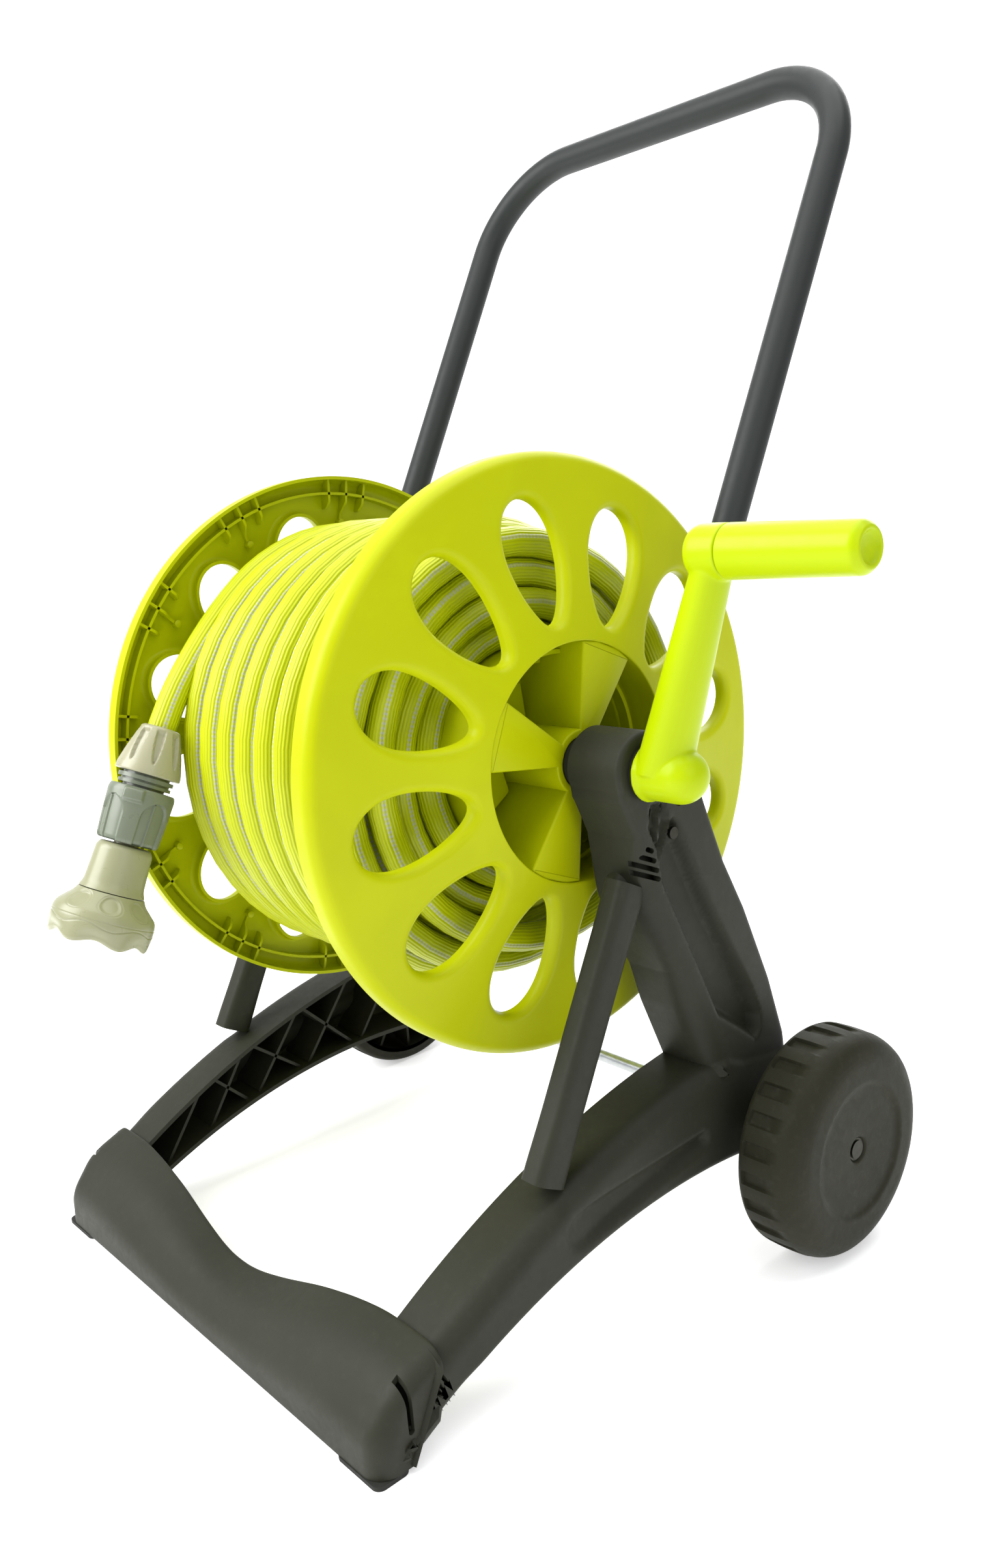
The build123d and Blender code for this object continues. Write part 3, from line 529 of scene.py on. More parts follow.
def hose_vinyl(rgb, stripe_rgb, ribs):
    """Reinforced garden hose of plasticised PVC.

    Its skin is glossy and a little see-through, with ribs that run along it and two pale stripes
    where the knitted yarn shows as small blocks 2.6 mm apart. The valleys between the ribs are
    darkened in its colour as painted shade. UV x runs round the hose and y along it, in metres.
    """
    material, tree, shader = new_material("hose_vinyl", {"IOR": 1.53, "Specular IOR Level": 0.25,
                                                         "Coat Weight": 0.1, "Coat Roughness": 0.25})
    place = add_node(tree, "ShaderNodeUVMap", {"uv_map": "hose"}).outputs[0]
    split = add_node(tree, "ShaderNodeSeparateXYZ", inputs={0: place})
    around, along = split.outputs[0], split.outputs[1]
    turn = add_node(tree, "ShaderNodeMath", {"operation": "MULTIPLY"}, {0: around, 1: 2 * math.pi * ribs})
    wave = add_node(tree, "ShaderNodeMath", {"operation": "COSINE"}, {0: turn.outputs[0]})
    yarn_turn = add_node(tree, "ShaderNodeMath", {"operation": "MULTIPLY"},
                         {0: along, 1: 2 * math.pi * per_metre(2.6)})
    yarn = add_node(tree, "ShaderNodeMath", {"operation": "SINE"}, {0: yarn_turn.outputs[0]})
    masks = []
    for centre, half in ((0.09, 0.026), (0.46, 0.03), (0.80, 0.026)):
        away = add_node(tree, "ShaderNodeMath", {"operation": "SUBTRACT"}, {0: around, 1: centre})
        size = add_node(tree, "ShaderNodeMath", {"operation": "ABSOLUTE"}, {0: away.outputs[0]})
        mask = add_node(tree, "ShaderNodeMapRange", inputs={"Value": size.outputs[0],
                                                            "From Min": half, "From Max": half * 0.8,
                                                            "To Min": 0.0, "To Max": 1.0})
        masks.append(mask.outputs[0])
    stripe = masks[0]
    for mask in masks[1:]:
        stripe = add_node(tree, "ShaderNodeMath", {"operation": "MAXIMUM"}, {0: stripe, 1: mask}).outputs[0]
    blocks = add_node(tree, "ShaderNodeMapRange", inputs={"Value": yarn.outputs[0], "From Min": -0.5,
                                                          "From Max": 0.6, "To Min": 0.35, "To Max": 1.0})
    pale = add_node(tree, "ShaderNodeMath", {"operation": "MULTIPLY"}, {0: stripe, 1: blocks.outputs[0]})
    object_place = add_node(tree, "ShaderNodeTexCoord").outputs["Object"]
    cloud = add_node(tree, "ShaderNodeTexNoise", inputs={"Vector": object_place, "Scale": per_metre(30),
                                                         "Detail": 3.0})
    tone = mix_colours(tree, cloud.outputs[0], opaque(rgb, 0.86), opaque(rgb, 1.05))
    # Painted shade: the colour darkens towards half its brightness in the valleys between the ribs.
    rib_valley_shade = add_node(tree, "ShaderNodeMapRange", inputs={"Value": wave.outputs[0], "From Min": -1.0,
                                                          "From Max": 0.2, "To Min": 0.32, "To Max": 0.0})
    rib_shaded_tone = mix_colours(tree, rib_valley_shade.outputs[0], tone, opaque(rgb, 0.5))
    base = mix_colours(tree, pale.outputs[0], rib_shaded_tone, opaque(stripe_rgb))
    tree.links.new(base, shader.inputs["Base Color"])
    rough = add_node(tree, "ShaderNodeMapRange", inputs={"Value": cloud.outputs[0], "To Min": 0.3,
                                                         "To Max": 0.44})
    tree.links.new(rough.outputs[0], shader.inputs["Roughness"])
    lift = add_node(tree, "ShaderNodeMath", {"operation": "MULTIPLY"}, {0: pale.outputs[0], 1: 0.5})
    height = add_node(tree, "ShaderNodeMath", {"operation": "ADD"}, {0: wave.outputs[0], 1: lift.outputs[0]})
    bump = add_node(tree, "ShaderNodeBump", inputs={"Height": height.outputs[0], "Strength": 0.6,
                                                    "Distance": 0.25 * MM})
    tree.links.new(bump.outputs[0], shader.inputs["Normal"])
    return material


def studio_paper():
    """Matt pale background paper on a light table: a faint fibre, and a soft glow from behind it."""
    material, tree, shader = new_material("studio_paper", {
        "Roughness": 0.9, "Emission Color": (1, 1, 1, 1), "Emission Strength": 0.42})
    place = add_node(tree, "ShaderNodeTexCoord").outputs["Object"]
    fibre = add_node(tree, "ShaderNodeTexNoise", inputs={"Vector": place, "Scale": per_metre(12),
                                                         "Detail": 4.0})
    base = mix_colours(tree, fibre.outputs[0], opaque(linear("F4F4F5")), opaque(linear("F8F8F8")))
    tree.links.new(base, shader.inputs["Base Color"])
    return material


MATERIALS = {}


def make_materials(colours, sizes):
    """Every material of the cart, by the record's slot."""
    MATERIALS.update({
        "lime_plastic": lime_polypropylene(colours.lime),
        "crank": crank_polypropylene(colours.crank),
        "dark_plastic": shell_polypropylene(colours.shell),
        "handle_paint": powder_coat(colours.paint),
        "wheel_plastic": wheel_polyethylene(colours.wheel),
        "bearing_plastic": acetal(linear("D9D8CC")),
        "zinc_steel": zinc_plate(),
        "blackened": blackened_steel(),
        "seal_rubber": soft_rubber(linear("242521")),
        "hose_pvc": hose_vinyl(colours.hose, colours.stripe, sizes.hose_ribs),
        "nut_plastic": nozzle_abs("nut_abs", colours.nut),
        "collar_plastic": nozzle_abs("collar_abs", colours.collar),
        "nozzle_plastic": nozzle_abs("nozzle_abs", colours.nozzle),
    })


# ---------------------------------------------------------------- signed distances, for the side frames
def from_circle(p, centre, radius):
    """Distance outside a circle, negative inside."""
    return np.hypot(p[..., 0] - centre[0], p[..., 1] - centre[1]) - radius


def from_polygon(p, corners):
    """Distance outside a polygon, negative inside.

    It is the least distance to any side, with the sign from how often a ray along +y crosses sides.
    """
    corners = np.asarray(corners, float)
    best = np.full(p.shape[:-1], 1e9)
    inside = np.zeros(p.shape[:-1], bool)
    for a, b in zip(corners, np.roll(corners, -1, 0)):
        side, to = b - a, p - a
        t = np.clip((to @ side) / (side @ side), 0, 1)
        best = np.minimum(best, np.linalg.norm(to - t[..., None] * side, axis=-1))
        level = (a[1] > p[..., 1]) != (b[1] > p[..., 1])
        where = a[0] + (p[..., 1] - a[1]) / (b[1] - a[1] if b[1] != a[1] else 1) * side[0]
        inside ^= level & (p[..., 0] < where)
    return np.where(inside, -best, best)


def from_capsule(p, a, b, radius_a, radius_b):
    """Distance outside a round bar from a to b whose radius changes evenly."""
    a, b = np.asarray(a, float), np.asarray(b, float)
    t = np.clip(((p - a) @ (b - a)) / ((b - a) @ (b - a)), 0, 1)
    return np.linalg.norm(p - a - t[..., None] * (b - a), axis=-1) - radius_a - (radius_b - radius_a) * t


def circle_through(a, b, c):
    """Centre and radius of the circle through three points."""
    a, b, c = (np.asarray(v, float) for v in (a, b, c))
    m = 2 * np.array([b - a, c - a])
    centre = np.linalg.solve(m, [b @ b - a @ a, c @ c - a @ a])
    return centre, np.linalg.norm(a - centre)


def blend(first, second, width):
    """Smooth least of two distances, which fills the corner between them with a fillet."""
    h = np.clip(0.5 + (second - first) / (2 * width), 0, 1)
    return second + (first - second) * h - width * h * (1 - h)


POST = [(-22, 316), (-10, 288), (-5, 250), (5, 225), (19, 198), (27, 172), (49, 120), (60, 90),
        (126, 90), (121, 129), (107, 171), (84, 224), (66, 258), (50, 298), (40, 326), (21, 334)]
MEMBER_TOP = circle_through((60, 131), (-50, 110), (-176, 55.5))
MEMBER_FOOT = circle_through((-167, 26), (-49, 60), (80, 60))
MEMBER_BACK = [(-216, 2), (84, 12), (84, 140), (-216, 140)]
SEAM = [(-178.0, 60.0), (-202.0, 2.5)]


def frame_edge(p):
    """Distance outside the side frame's outline: hub, post with rear leg, arched member and axle boss."""
    post = from_polygon(p, POST)
    member = np.maximum(from_circle(p, *MEMBER_TOP), -from_circle(p, *MEMBER_FOOT))
    member = np.maximum(member, from_polygon(p, MEMBER_BACK))
    whole = blend(post, from_circle(p, (0, REEL_Z), HUB_R), 5)
    whole = blend(whole, member, 7)
    return blend(whole, from_circle(p, (AXLE_Y, AXLE_Z), AXLE_BOSS_R), 6)


def slope(field, p, step=0.05):
    """The unit direction in which a distance grows fastest, by central differences."""
    way = np.stack([field(p + (step, 0)) - field(p - (step, 0)),
                    field(p + (0, step)) - field(p - (0, step))], -1)
    return way / np.maximum(np.linalg.norm(way, axis=-1, keepdims=True), 1e-9)


def edge_radius(p, soft, firm):
    """Radius of the outer edge beside p: soft on the front and upper edges, firm on the lower and rear
    ones, and small round the hub."""
    way = slope(frame_edge, p)
    facing = -0.8 * way[..., 0] + 0.6 * way[..., 1]
    radius = firm + (soft - firm) * ease((facing + 0.25) / 0.6)
    near_hub = ease((from_circle(p, (0, REEL_Z), HUB_R) - 6) / 40)
    return 3.5 + (radius - 3.5) * near_hub


LEG_POCKET = [(19, 297), (23.5, 293), (48.6, 238.4), (70, 200), (87, 170), (95, 150), (94.5, 139),
              (90, 133.5), (53.6, 161.6), (9.2, 256.6), (6.6, 270)]
VENT_POCKET = [(1, 307), (-1.5, 293), (4.2, 280), (6.2, 271), (18, 294), (14, 307)]
LEG_CREASE = [(-12, 166), (10, 153), (32, 141), (75, 120), (125, 112), (125, 360), (-60, 360)]


def face_depth(p, pocket):
    """How far the outer face lies under its plane: leg pocket, vent pocket and its rib, long dent in the
    member, and the leg's face that starts under the member's crease."""
    depth = pocket * ease(-from_polygon(p, LEG_POCKET) / 6 + 0.1)
    vent = 4.5 * ease(-from_polygon(p, VENT_POCKET) / 3)
    vent = vent * (1 - 0.8 * ease(1.6 - from_capsule(p, (10.2, 303), (6.5, 284), 0.5, 0.5)))
    dent = 5.5 * ease(-from_capsule(p, (33, 87), (-75, 76), 8, 15) / 9) * ease((p[..., 0] + 112) / 70)
    above = -from_polygon(p, LEG_CREASE)
    crease = 2.6 * ease(above / 5) * np.exp(-np.maximum(above, 0) / 45)
    seat = 1.2 * ease((-150 - p[..., 0]) / 20)
    return depth + vent + dent + crease + seat


def skin_height(p, soft, firm, pocket):
    """X of the frame's outer skin over p, its rounded edges included."""
    radius = edge_radius(p, soft, firm)
    deep = np.clip(-frame_edge(p), 0, radius)
    drop = radius - np.sqrt(np.maximum(radius ** 2 - (radius - deep) ** 2, 0))
    return FRAME_OUT - drop - face_depth(p, pocket)


def frame_skin(soft, firm, pocket, step=1.7):
    """The side frame's outer skin, open towards the reel.

    A square grid covers the flat part, where the distance inside the outline is over the edge's
    radius. Its border points are moved onto that line, and rings then go out and down from it as
    a quarter circle, sin t * radius outwards and (1 - cos t) * radius down, and on as a wall.
    """
    def flat_part(p):
        return frame_edge(p) + edge_radius(p, soft, firm)

    y, z = np.meshgrid(np.arange(-218, 134, step), np.arange(0, 352, step), indexing="ij")
    grid = np.stack([y, z], -1)
    cells = quads(*y.shape)
    points = grid.reshape(-1, 2)
    cells = cells[flat_part(points[cells].mean(1)) < 0]
    used, cells = np.unique(cells, return_inverse=True)
    points, cells = points[used], cells.reshape(-1, 4)
    edges = np.concatenate([cells[:, [k, (k + 1) % 4]] for k in range(4)])
    keys = np.sort(edges, 1) @ (len(points), 1)
    _, first, counts = np.unique(keys, return_index=True, return_counts=True)
    border_edges = edges[first[counts == 1]]
    border, border_edges = np.unique(border_edges, return_inverse=True)
    border_edges = border_edges.reshape(-1, 2)
    rim = points[border]
    for _ in range(6):
        rim = rim - slope(flat_part, rim) * flat_part(rim)[:, None]
    points[border] = rim
    surface = np.column_stack([FRAME_OUT - face_depth(points, pocket), points])
    way, radius = slope(frame_edge, rim), edge_radius(rim, soft, firm)
    top = FRAME_OUT - face_depth(rim, pocket)
    rings = []
    for t in np.linspace(0, np.pi / 2, 8):
        out = rim + way * (radius * np.sin(t))[:, None]
        rings.append(np.column_stack([top - radius * (1 - np.cos(t)), out]))
    for x in (160, FRAME_IN):
        rings.append(np.column_stack([np.full(len(rim), x), rings[-1][:, 1:]]))
    count = len(border)
    steps = np.arange(len(rings) - 1)[:, None] * count
    a, b = border_edges[:, 0][None, :] + steps, border_edges[:, 1][None, :] + steps
    sides = np.stack([b, a, a + count, b + count], -1).reshape(-1, 4)
    return [(surface, cells), (np.concatenate(rings), sides)]


def round_bar(start, end, radius, edge=1.5, steps=64, up=(1, 0, 0)):
    """A closed round bar between two points, with rounded ends."""
    start, end = np.asarray(start, float), np.asarray(end, float)
    span = np.linalg.norm(end - start)
    profile = rounded([(0, 0.01), (0, radius), (span, radius), (span, 0.01)], edge)
    rings = lathe(profile, start, end - start, up, steps)
    return capped(rings)


def handle_spot(z, side=1):
    """A point on the centre line of a handle leg."""
    y = HANDLE_TOP[0] - (HANDLE_TOP[1] - z) * math.tan(HANDLE_LEAN)
    return np.array([side * HANDLE_HALF, y, z])


STRUT_TOP, STRUT_FOOT = (-7.0, 260.0), (-88.0, 105.0)
STRUT_OUT = 180.5
STRUT_HALF_X, STRUT_HALF_Y = 9.0, 11.0
SEAM_BACK = 11
FRAME_RIBS = [((-170, 20), (-120, 90)), ((-128, 40), (-88, 100)), ((-88, 50), (-128, 90)),
              ((-88, 50), (-40, 112)), ((-40, 60), (-88, 98)), ((-40, 60), (10, 125)),
              ((10, 62), (-40, 112)), ((10, 62), (60, 130)), ((30, 175), (112, 160)),
              ((40, 150), (95, 215)), ((15, 215), (90, 215)), ((0, 245), (75, 245))]
VENTS = [((-2.6, 281.4), (0.9, 279.6)), ((-5.2, 277.0), (2.6, 273.4)), ((-8.6, 273.2), (4.6, 267.2)),
         ((-12.4, 269.8), (5.6, 261.8)), ((14.6, 308.2), (25.6, 302.2)), ((4.6, 302.2), (1.0, 290.6))]


def strut():
    """The front strut: a box with rounded edges between the post and the member, wider at its foot."""
    t = np.linspace(0, 1, 24)
    start, end = np.array(STRUT_TOP), np.array(STRUT_FOOT)
    way = (end - start) / np.linalg.norm(end - start)
    across = np.array([-way[1], way[0]])
    corner = rounded_loop([(-1, -1), (1, -1), (1, 1), (-1, 1)], 0.7, 9)
    swell = 1 + 0.1 * ease((t - 0.75) / 0.25) + 0.06 * ease((0.15 - t) / 0.15)
    half_x, half_y = STRUT_HALF_X * np.ones(24), STRUT_HALF_Y * swell
    centre = start + t[:, None] * (end - start)
    sideways = corner[None, :, 1] * half_y[:, None]
    spot = centre[:, None, :] + sideways[..., None] * across
    x = STRUT_OUT + (corner[None, :, 0] - 1) * half_x[:, None]
    return capped(np.concatenate([x[..., None], spot], -1))


def rib_plates(soft, firm, pocket):
    """Thin ribs in the frame's hollow: each runs along its line, up to the skin's underside."""
    plates = []
    for start, end in FRAME_RIBS:
        start, end = np.array(start, float), np.array(end, float)
        t = np.linspace(0, 1, 60)
        line = start + t[:, None] * (end - start)
        line = line[frame_edge(line) < -2.6]
        way = (end - start) / np.linalg.norm(end - start)
        across = np.array([-way[1], way[0]]) * 1.1
        top = skin_height(line, soft, firm, pocket) - 2.4
        low = np.full(len(line), FRAME_IN + 5.0)
        rows = [np.column_stack([x, line + s * across]) for x, s in
                ((low, -1), (low, 1), (top, 1), (top, -1))]
        plates += capped(np.stack(rows, 1))
    return plates


def vent_cutters():
    """Rounded bars that cut the vents through the skin: 3 mm wide, along X."""
    parts = []
    for start, end in VENTS:
        start, end = np.array(start), np.array(end)
        way = (end - start) / np.linalg.norm(end - start)
        across = np.array([-way[1], way[0]])
        t = np.linspace(-np.pi / 2, np.pi / 2, 9)
        cap_end = end + 1.5 * (np.cos(t)[:, None] * way + np.sin(t)[:, None] * across)
        cap_start = start - 1.5 * (np.cos(t)[:, None] * way + np.sin(t)[:, None] * across)
        outline = np.concatenate([cap_end, cap_start])
        rings = [np.column_stack([np.full(len(outline), x), outline]) for x in (175.0, 190.0)]
        parts += capped(np.stack(rings))
    return parts


def seam_cutter():
    """A block that cuts the side frame's end off, along a line parallel to its seam with the foot bar and
    in front of it, so that the end goes on a little way under the bar."""
    (top_y, top_z), (foot_y, foot_z) = SEAM
    lean = (top_y - foot_y) / (top_z - foot_z)
    corners = [(foot_y - SEAM_BACK - lean * 12, foot_z - 12),
               (top_y - SEAM_BACK + lean * 20, top_z + 20), (-240, 90), (-240, -12)]
    return capped(np.stack([np.column_stack([np.full(4, x), np.array(corners)]) for x in (130.0, 200.0)]))


def build_frames(sizes):
    """Both side frames: skin with its wall and vents, strut, ribs, sockets and axle bosses."""
    soft, firm = sizes.soft_edge / MM, sizes.firm_edge / MM
    pocket = sizes.pocket_depth / MM
    skin = frame_skin(soft, firm, pocket)
    ribs = rib_plates(soft, firm, pocket)
    rise = np.array([0, math.sin(HANDLE_LEAN), math.cos(HANDLE_LEAN)])
    for name, side in SIDES.items():
        shell = put(f"side_frame_{name}_shell", make_mesh("shell", mirrored(skin, side)))
        face_out(shell.data, (side, 0, 0))
        thicken(shell, WALL)
        cut_out(shell, mirrored(vent_cutters() + seam_cutter(), side))
        finish_piece(shell, MATERIALS["dark_plastic"], "cart", [f"side_frame_{name}"])
        foot = handle_spot(HANDLE_FOOT_Z - 6)
        socket = round_bar(foot, foot + rise * (SOCKET_TOP_Z - foot[2]) / rise[2], SOCKET_R, 1.5)
        boss = round_bar((FRAME_OUT - 20, AXLE_Y, AXLE_Z), (WHEEL_IN - 0.8, AXLE_Y, AXLE_Z), 13, 1,
                         up=(0, 0, 1))
        inner = put(f"side_frame_{name}_ribs", make_mesh("ribs", mirrored(ribs + socket + boss, side)))
        finish_piece(inner, MATERIALS["dark_plastic"], "cart")
        leg = put(f"side_frame_{name}_strut", make_mesh("strut", mirrored(strut(), side)))
        finish_piece(leg, MATERIALS["dark_plastic"], "cart")


# ---------------------------------------------------------------- foot bar
BAR_STATIONS = np.array([(0, -189, 33.5, 14), (18, -188.5, 34.5, 14), (45, -186, 40, 16),
                         (83, -182, 50, 20), (114, -179.5, 56, 24), (142, -178, 59.5, 26),
                         (187, -178, 58.5, 26)], float)
BAR_END_R = 13.0
BAR_FRONT, BAR_BACK_FOOT = -226.5, -202
BAR_WALL = 3.5
SLOT_Y, SLOT_Z = -202.5, 36
SLOT_HALF, SLOT_R = 13.5, 1.9


def bar_section(back, top, band, sunk):
    """The bar's open section: front foot, front edge, crown, back edge and back foot.

    Towards an end of the bar its front comes back by sunk, eased in over 20 mm, and it drops by 0.8 of
    sunk, eased in over 40 mm of height.
    """
    corners = np.array([(BAR_FRONT + 0.5, 2.5), (BAR_FRONT + 1.5, band - 1),
                        ((back + BAR_FRONT) / 2 - 4, (band + top) / 2 + 5), (back, top),
                        (BAR_BACK_FOOT, 2.5)])
    line = rounded(corners, [9, 26, 4], 9)
    line[:, 0] += sunk * ease((-203 - line[:, 0]) / 20)
    line[:, 1] -= 0.8 * sunk * ease((line[:, 1] - 8) / 40)
    return line


def foot_bar():
    """The front foot bar: each of its sections' sizes is a running mean over 25 mm of the stations', and
    over the last stretch they sink as a quarter circle, 1 - cos t for sin t of the way."""
    t = np.linspace(0, np.pi / 2, 12)
    xs = np.concatenate([np.linspace(0, FRAME_OUT - BAR_END_R, 90),
                         FRAME_OUT - BAR_END_R * (1 - np.sin(t[1:]))])
    sunk = np.concatenate([np.zeros(90), BAR_END_R * (1 - np.cos(t[1:]))])
    fine = np.linspace(-FRAME_OUT, FRAME_OUT, 375)
    eased = [np.convolve(np.pad(np.interp(np.abs(fine), BAR_STATIONS[:, 0], BAR_STATIONS[:, k]), 12, "edge"),
                         np.ones(25) / 25, "valid") for k in (1, 2, 3)]
    sizes = [np.interp(xs, fine, values) for values in eased]
    right = np.stack([np.column_stack([np.full(len(line), x), line]) for x, line in
                      ((x, bar_section(*rest)) for x, *rest in zip(xs, *sizes, sunk))])
    whole = np.concatenate([right[:0:-1] * np.array([-1, 1, 1]), right])
    return [sheet(whole), lid(whole[0]), lid(whole[-1])]


def build_foot_bar():
    """The foot bar with its hollow underside and the latch slot in each end."""
    bar = put("foot_bar_shell", make_mesh("foot_bar", foot_bar()))
    face_out(bar.data, (0, -0.5, 0.8))
    thicken(bar, BAR_WALL)
    cutters = []
    for side in SIDES.values():
        t = np.linspace(0, 2 * np.pi, 24, endpoint=False)
        outline = np.column_stack([SLOT_Y + SLOT_R * np.cos(t),
                                   SLOT_Z + SLOT_HALF * np.sign(np.sin(t)) + SLOT_R * np.sin(t)])
        rings = [np.column_stack([np.full(24, side * x), outline]) for x in (176.0, 192.0)]
        cutters += capped(np.stack(rings))
    cut_out(bar, cutters)
    finish_piece(bar, MATERIALS["dark_plastic"], "cart", ["front_foot_bar"])


# ---------------------------------------------------------------- handle
def tube(path, radius, steps=32, normal=(1, 0, 0)):
    """A round tube along a path: circles square to the path's mean direction at each point."""
    path = np.asarray(path, float)
    way = np.gradient(path, axis=0)
    way = way / np.linalg.norm(way, axis=1, keepdims=True)
    first = np.asarray(normal, float) - way * (way @ np.asarray(normal, float))[:, None]
    first = first / np.linalg.norm(first, axis=1, keepdims=True)
    second = np.cross(way, first)
    t = np.linspace(0, 2 * np.pi, steps, endpoint=False)
    circle = np.cos(t)[None, :, None] * first[:, None] + np.sin(t)[None, :, None] * second[:, None]
    return path[:, None] + radius * circle


def handle_path():
    """Centre line of the handle: up a leg, round a bend of its radius, across, and down."""
    rise = np.array([0, math.sin(HANDLE_LEAN), math.cos(HANDLE_LEAN)])
    corner = handle_spot(HANDLE_TOP[1])
    foot = handle_spot(HANDLE_FOOT_Z)
    bend_start = corner - rise * HANDLE_BEND
    centre = bend_start - np.array([HANDLE_BEND, 0, 0])
    t = np.linspace(0, np.pi / 2, 28)
    bend = centre + HANDLE_BEND * (np.cos(t)[:, None] * np.array([1, 0, 0]) + np.sin(t)[:, None] * rise)
    leg = foot + np.linspace(0, 1, 12)[:, None] * (bend_start - foot)
    half = np.concatenate([leg[:-1], bend])
    return np.concatenate([half, half[::-1] * np.array([-1, 1, 1])])


def build_handle():
    """The bent handle tube and the collars where it enters the side frames."""
    normal = np.array([0, math.cos(HANDLE_LEAN), -math.sin(HANDLE_LEAN)])
    rings = tube(handle_path(), HANDLE_R, 40, normal)
    piece = put("handle_bow", make_mesh("handle_bow", capped(rings)))
    finish_piece(piece, MATERIALS["handle_paint"], "cart", ["handle_tube"])
    rise = np.array([0, math.sin(HANDLE_LEAN), math.cos(HANDLE_LEAN)])
    parts = []
    for side in SIDES.values():
        base = handle_spot(SOCKET_TOP_Z, side)
        profile = rounded([(-2, 10.1), (-2, 13.8), (1, 13.8), (9, 12), (9, 10.1)], 1.2)
        parts.append(sheet(lathe(np.vstack([profile, profile[:1]]), base, rise, (1, 0, 0), 64), around=True))
    collars = put("handle_collar_rings", make_mesh("handle_collar_rings", parts))
    finish_piece(collars, MATERIALS["dark_plastic"], "cart", ["handle_collars"])


# ---------------------------------------------------------------- reel
SECTOR = math.pi / HOLES
SPOKE_TURN = 2 * math.pi / 6
POCKET_R = 71.5
SECTOR_IN, SECTOR_OUT = POCKET_R + 2.5, 168.0
ARC_OUT, ARC_IN, ARC_SIDE = 20, 12, 22
CONE_LOW, CONE_RISE, CONE_RUN = 119.2, 16.8, 96
HOLE_MIDDLE, HOLE_HALF = 118.5, 36.5
HOLE_SIDE, HOLE_FLARE = 20, 0.27
HOLE_START = (118.0, 0.0)


def face_x(r):
    """X of the flange's coned face at radius r: its lowest X, plus its rise times the 1.15th power of the
    share of its run that lies between r and the shoulder."""
    return CONE_LOW + CONE_RISE * np.clip((SECTOR_OUT - r) / CONE_RUN, 0, 1.1) ** 1.15


def from_egg(p):
    """Below 0 inside a hole, in its own (radial, sideways) place: an ellipse about the hole's middle, whose
    sides are scaled by 1 plus the flare times the share of the way out."""
    way_out = (p[..., 0] - HOLE_MIDDLE) / HOLE_HALF
    return way_out ** 2 + (p[..., 1] / (HOLE_SIDE * (1 + HOLE_FLARE * np.clip(way_out, -1, 1)))) ** 2 - 1


def sector_border():
    """Points round one sector's border: outer arc, side, inner arc and side, in (radial, sideways)."""
    outer = np.linspace(-SECTOR, SECTOR, ARC_OUT + 1)[:-1]
    side = np.linspace(SECTOR_OUT, SECTOR_IN, ARC_SIDE + 1)[:-1]
    inner = np.linspace(SECTOR, -SECTOR, ARC_IN + 1)[:-1]
    polar = np.concatenate([
        np.column_stack([np.full(ARC_OUT, SECTOR_OUT), outer]),
        np.column_stack([side, np.full(ARC_SIDE, SECTOR)]),
        np.column_stack([np.full(ARC_IN, SECTOR_IN), inner]),
        np.column_stack([(SECTOR_OUT + SECTOR_IN) - side, np.full(ARC_SIDE, -SECTOR)])])
    return np.column_stack([polar[:, 0] * np.cos(polar[:, 1]), polar[:, 0] * np.sin(polar[:, 1])])


def sector_skin(roll):
    """One twelfth of the flange's face round its hole.

    Lines run from the hole's edge to the sector's border. Within the roll's radius of the edge the
    face sinks as a quarter circle, and from the edge it goes on inwards as the hole's wall.
    """
    border = sector_border()
    centre = np.array(HOLE_START)
    low, high = np.zeros(len(border)), np.ones(len(border))
    for _ in range(40):
        half = (low + high) / 2
        outside = from_egg(centre + half[:, None] * (border - centre)) > 0
        low, high = np.where(outside, low, half), np.where(outside, half, high)
    edge = centre + high[:, None] * (border - centre)
    gap = np.linalg.norm(border - edge, axis=1)
    reach = np.minimum(roll, gap * 0.48)
    quarter = np.linspace(0, np.pi / 2, 9)
    share = np.concatenate([1 - np.cos(quarter), [1.35, 1.8]])
    distances = share[:, None] * reach
    sink = np.concatenate([1 - np.sin(quarter), [0, 0]])[:, None] * np.full(len(border), roll)
    way = (border - edge) / gap[:, None]
    rows = edge + distances[..., None] * way
    wall = np.stack([edge, edge])
    spots = np.concatenate([wall, rows, border[None]])
    drop = np.concatenate([np.full((1, len(border)), 9.5), np.full((1, len(border)), roll + 1.2), sink,
                           np.zeros((1, len(border)))])
    x = face_x(np.linalg.norm(spots, axis=-1)) - drop
    return np.concatenate([x[..., None], spots], -1)


def rim_profile():
    """(x, radius) of the flange outside its holes: shoulder, rolled rim and inward lip."""
    return rounded([(face_x(SECTOR_OUT), SECTOR_OUT), (FLANGE_X - 7.8, FLANGE_R - 4),
                    (FLANGE_X - 13, FLANGE_R), (FLANGE_X - 23, FLANGE_R)], [6, 4], 7)


def reel_angles():
    """The angles at which the sectors' outer arcs have points, once round."""
    inside = np.linspace(-SECTOR, SECTOR, ARC_OUT + 1)[:-1]
    return np.concatenate([HOLE_PHASE + 2 * SECTOR * k + inside for k in range(HOLES)])


def inner_angles():
    """The angles at which the sectors' inner arcs have points, once round."""
    inside = np.linspace(-SECTOR, SECTOR, ARC_IN + 1)[:-1]
    return np.concatenate([HOLE_PHASE + 2 * SECTOR * k + inside for k in range(HOLES)])


def around_reel(profile, angles):
    """(x, radius) points turned about the reel's axis at given angles."""
    profile = np.asarray(profile, float)
    x = np.repeat(profile[:, :1], len(angles), 1)
    r = np.repeat(profile[:, 1:], len(angles), 1)
    return np.stack([x, r * np.cos(angles), REEL_Z + r * np.sin(angles)], -1)


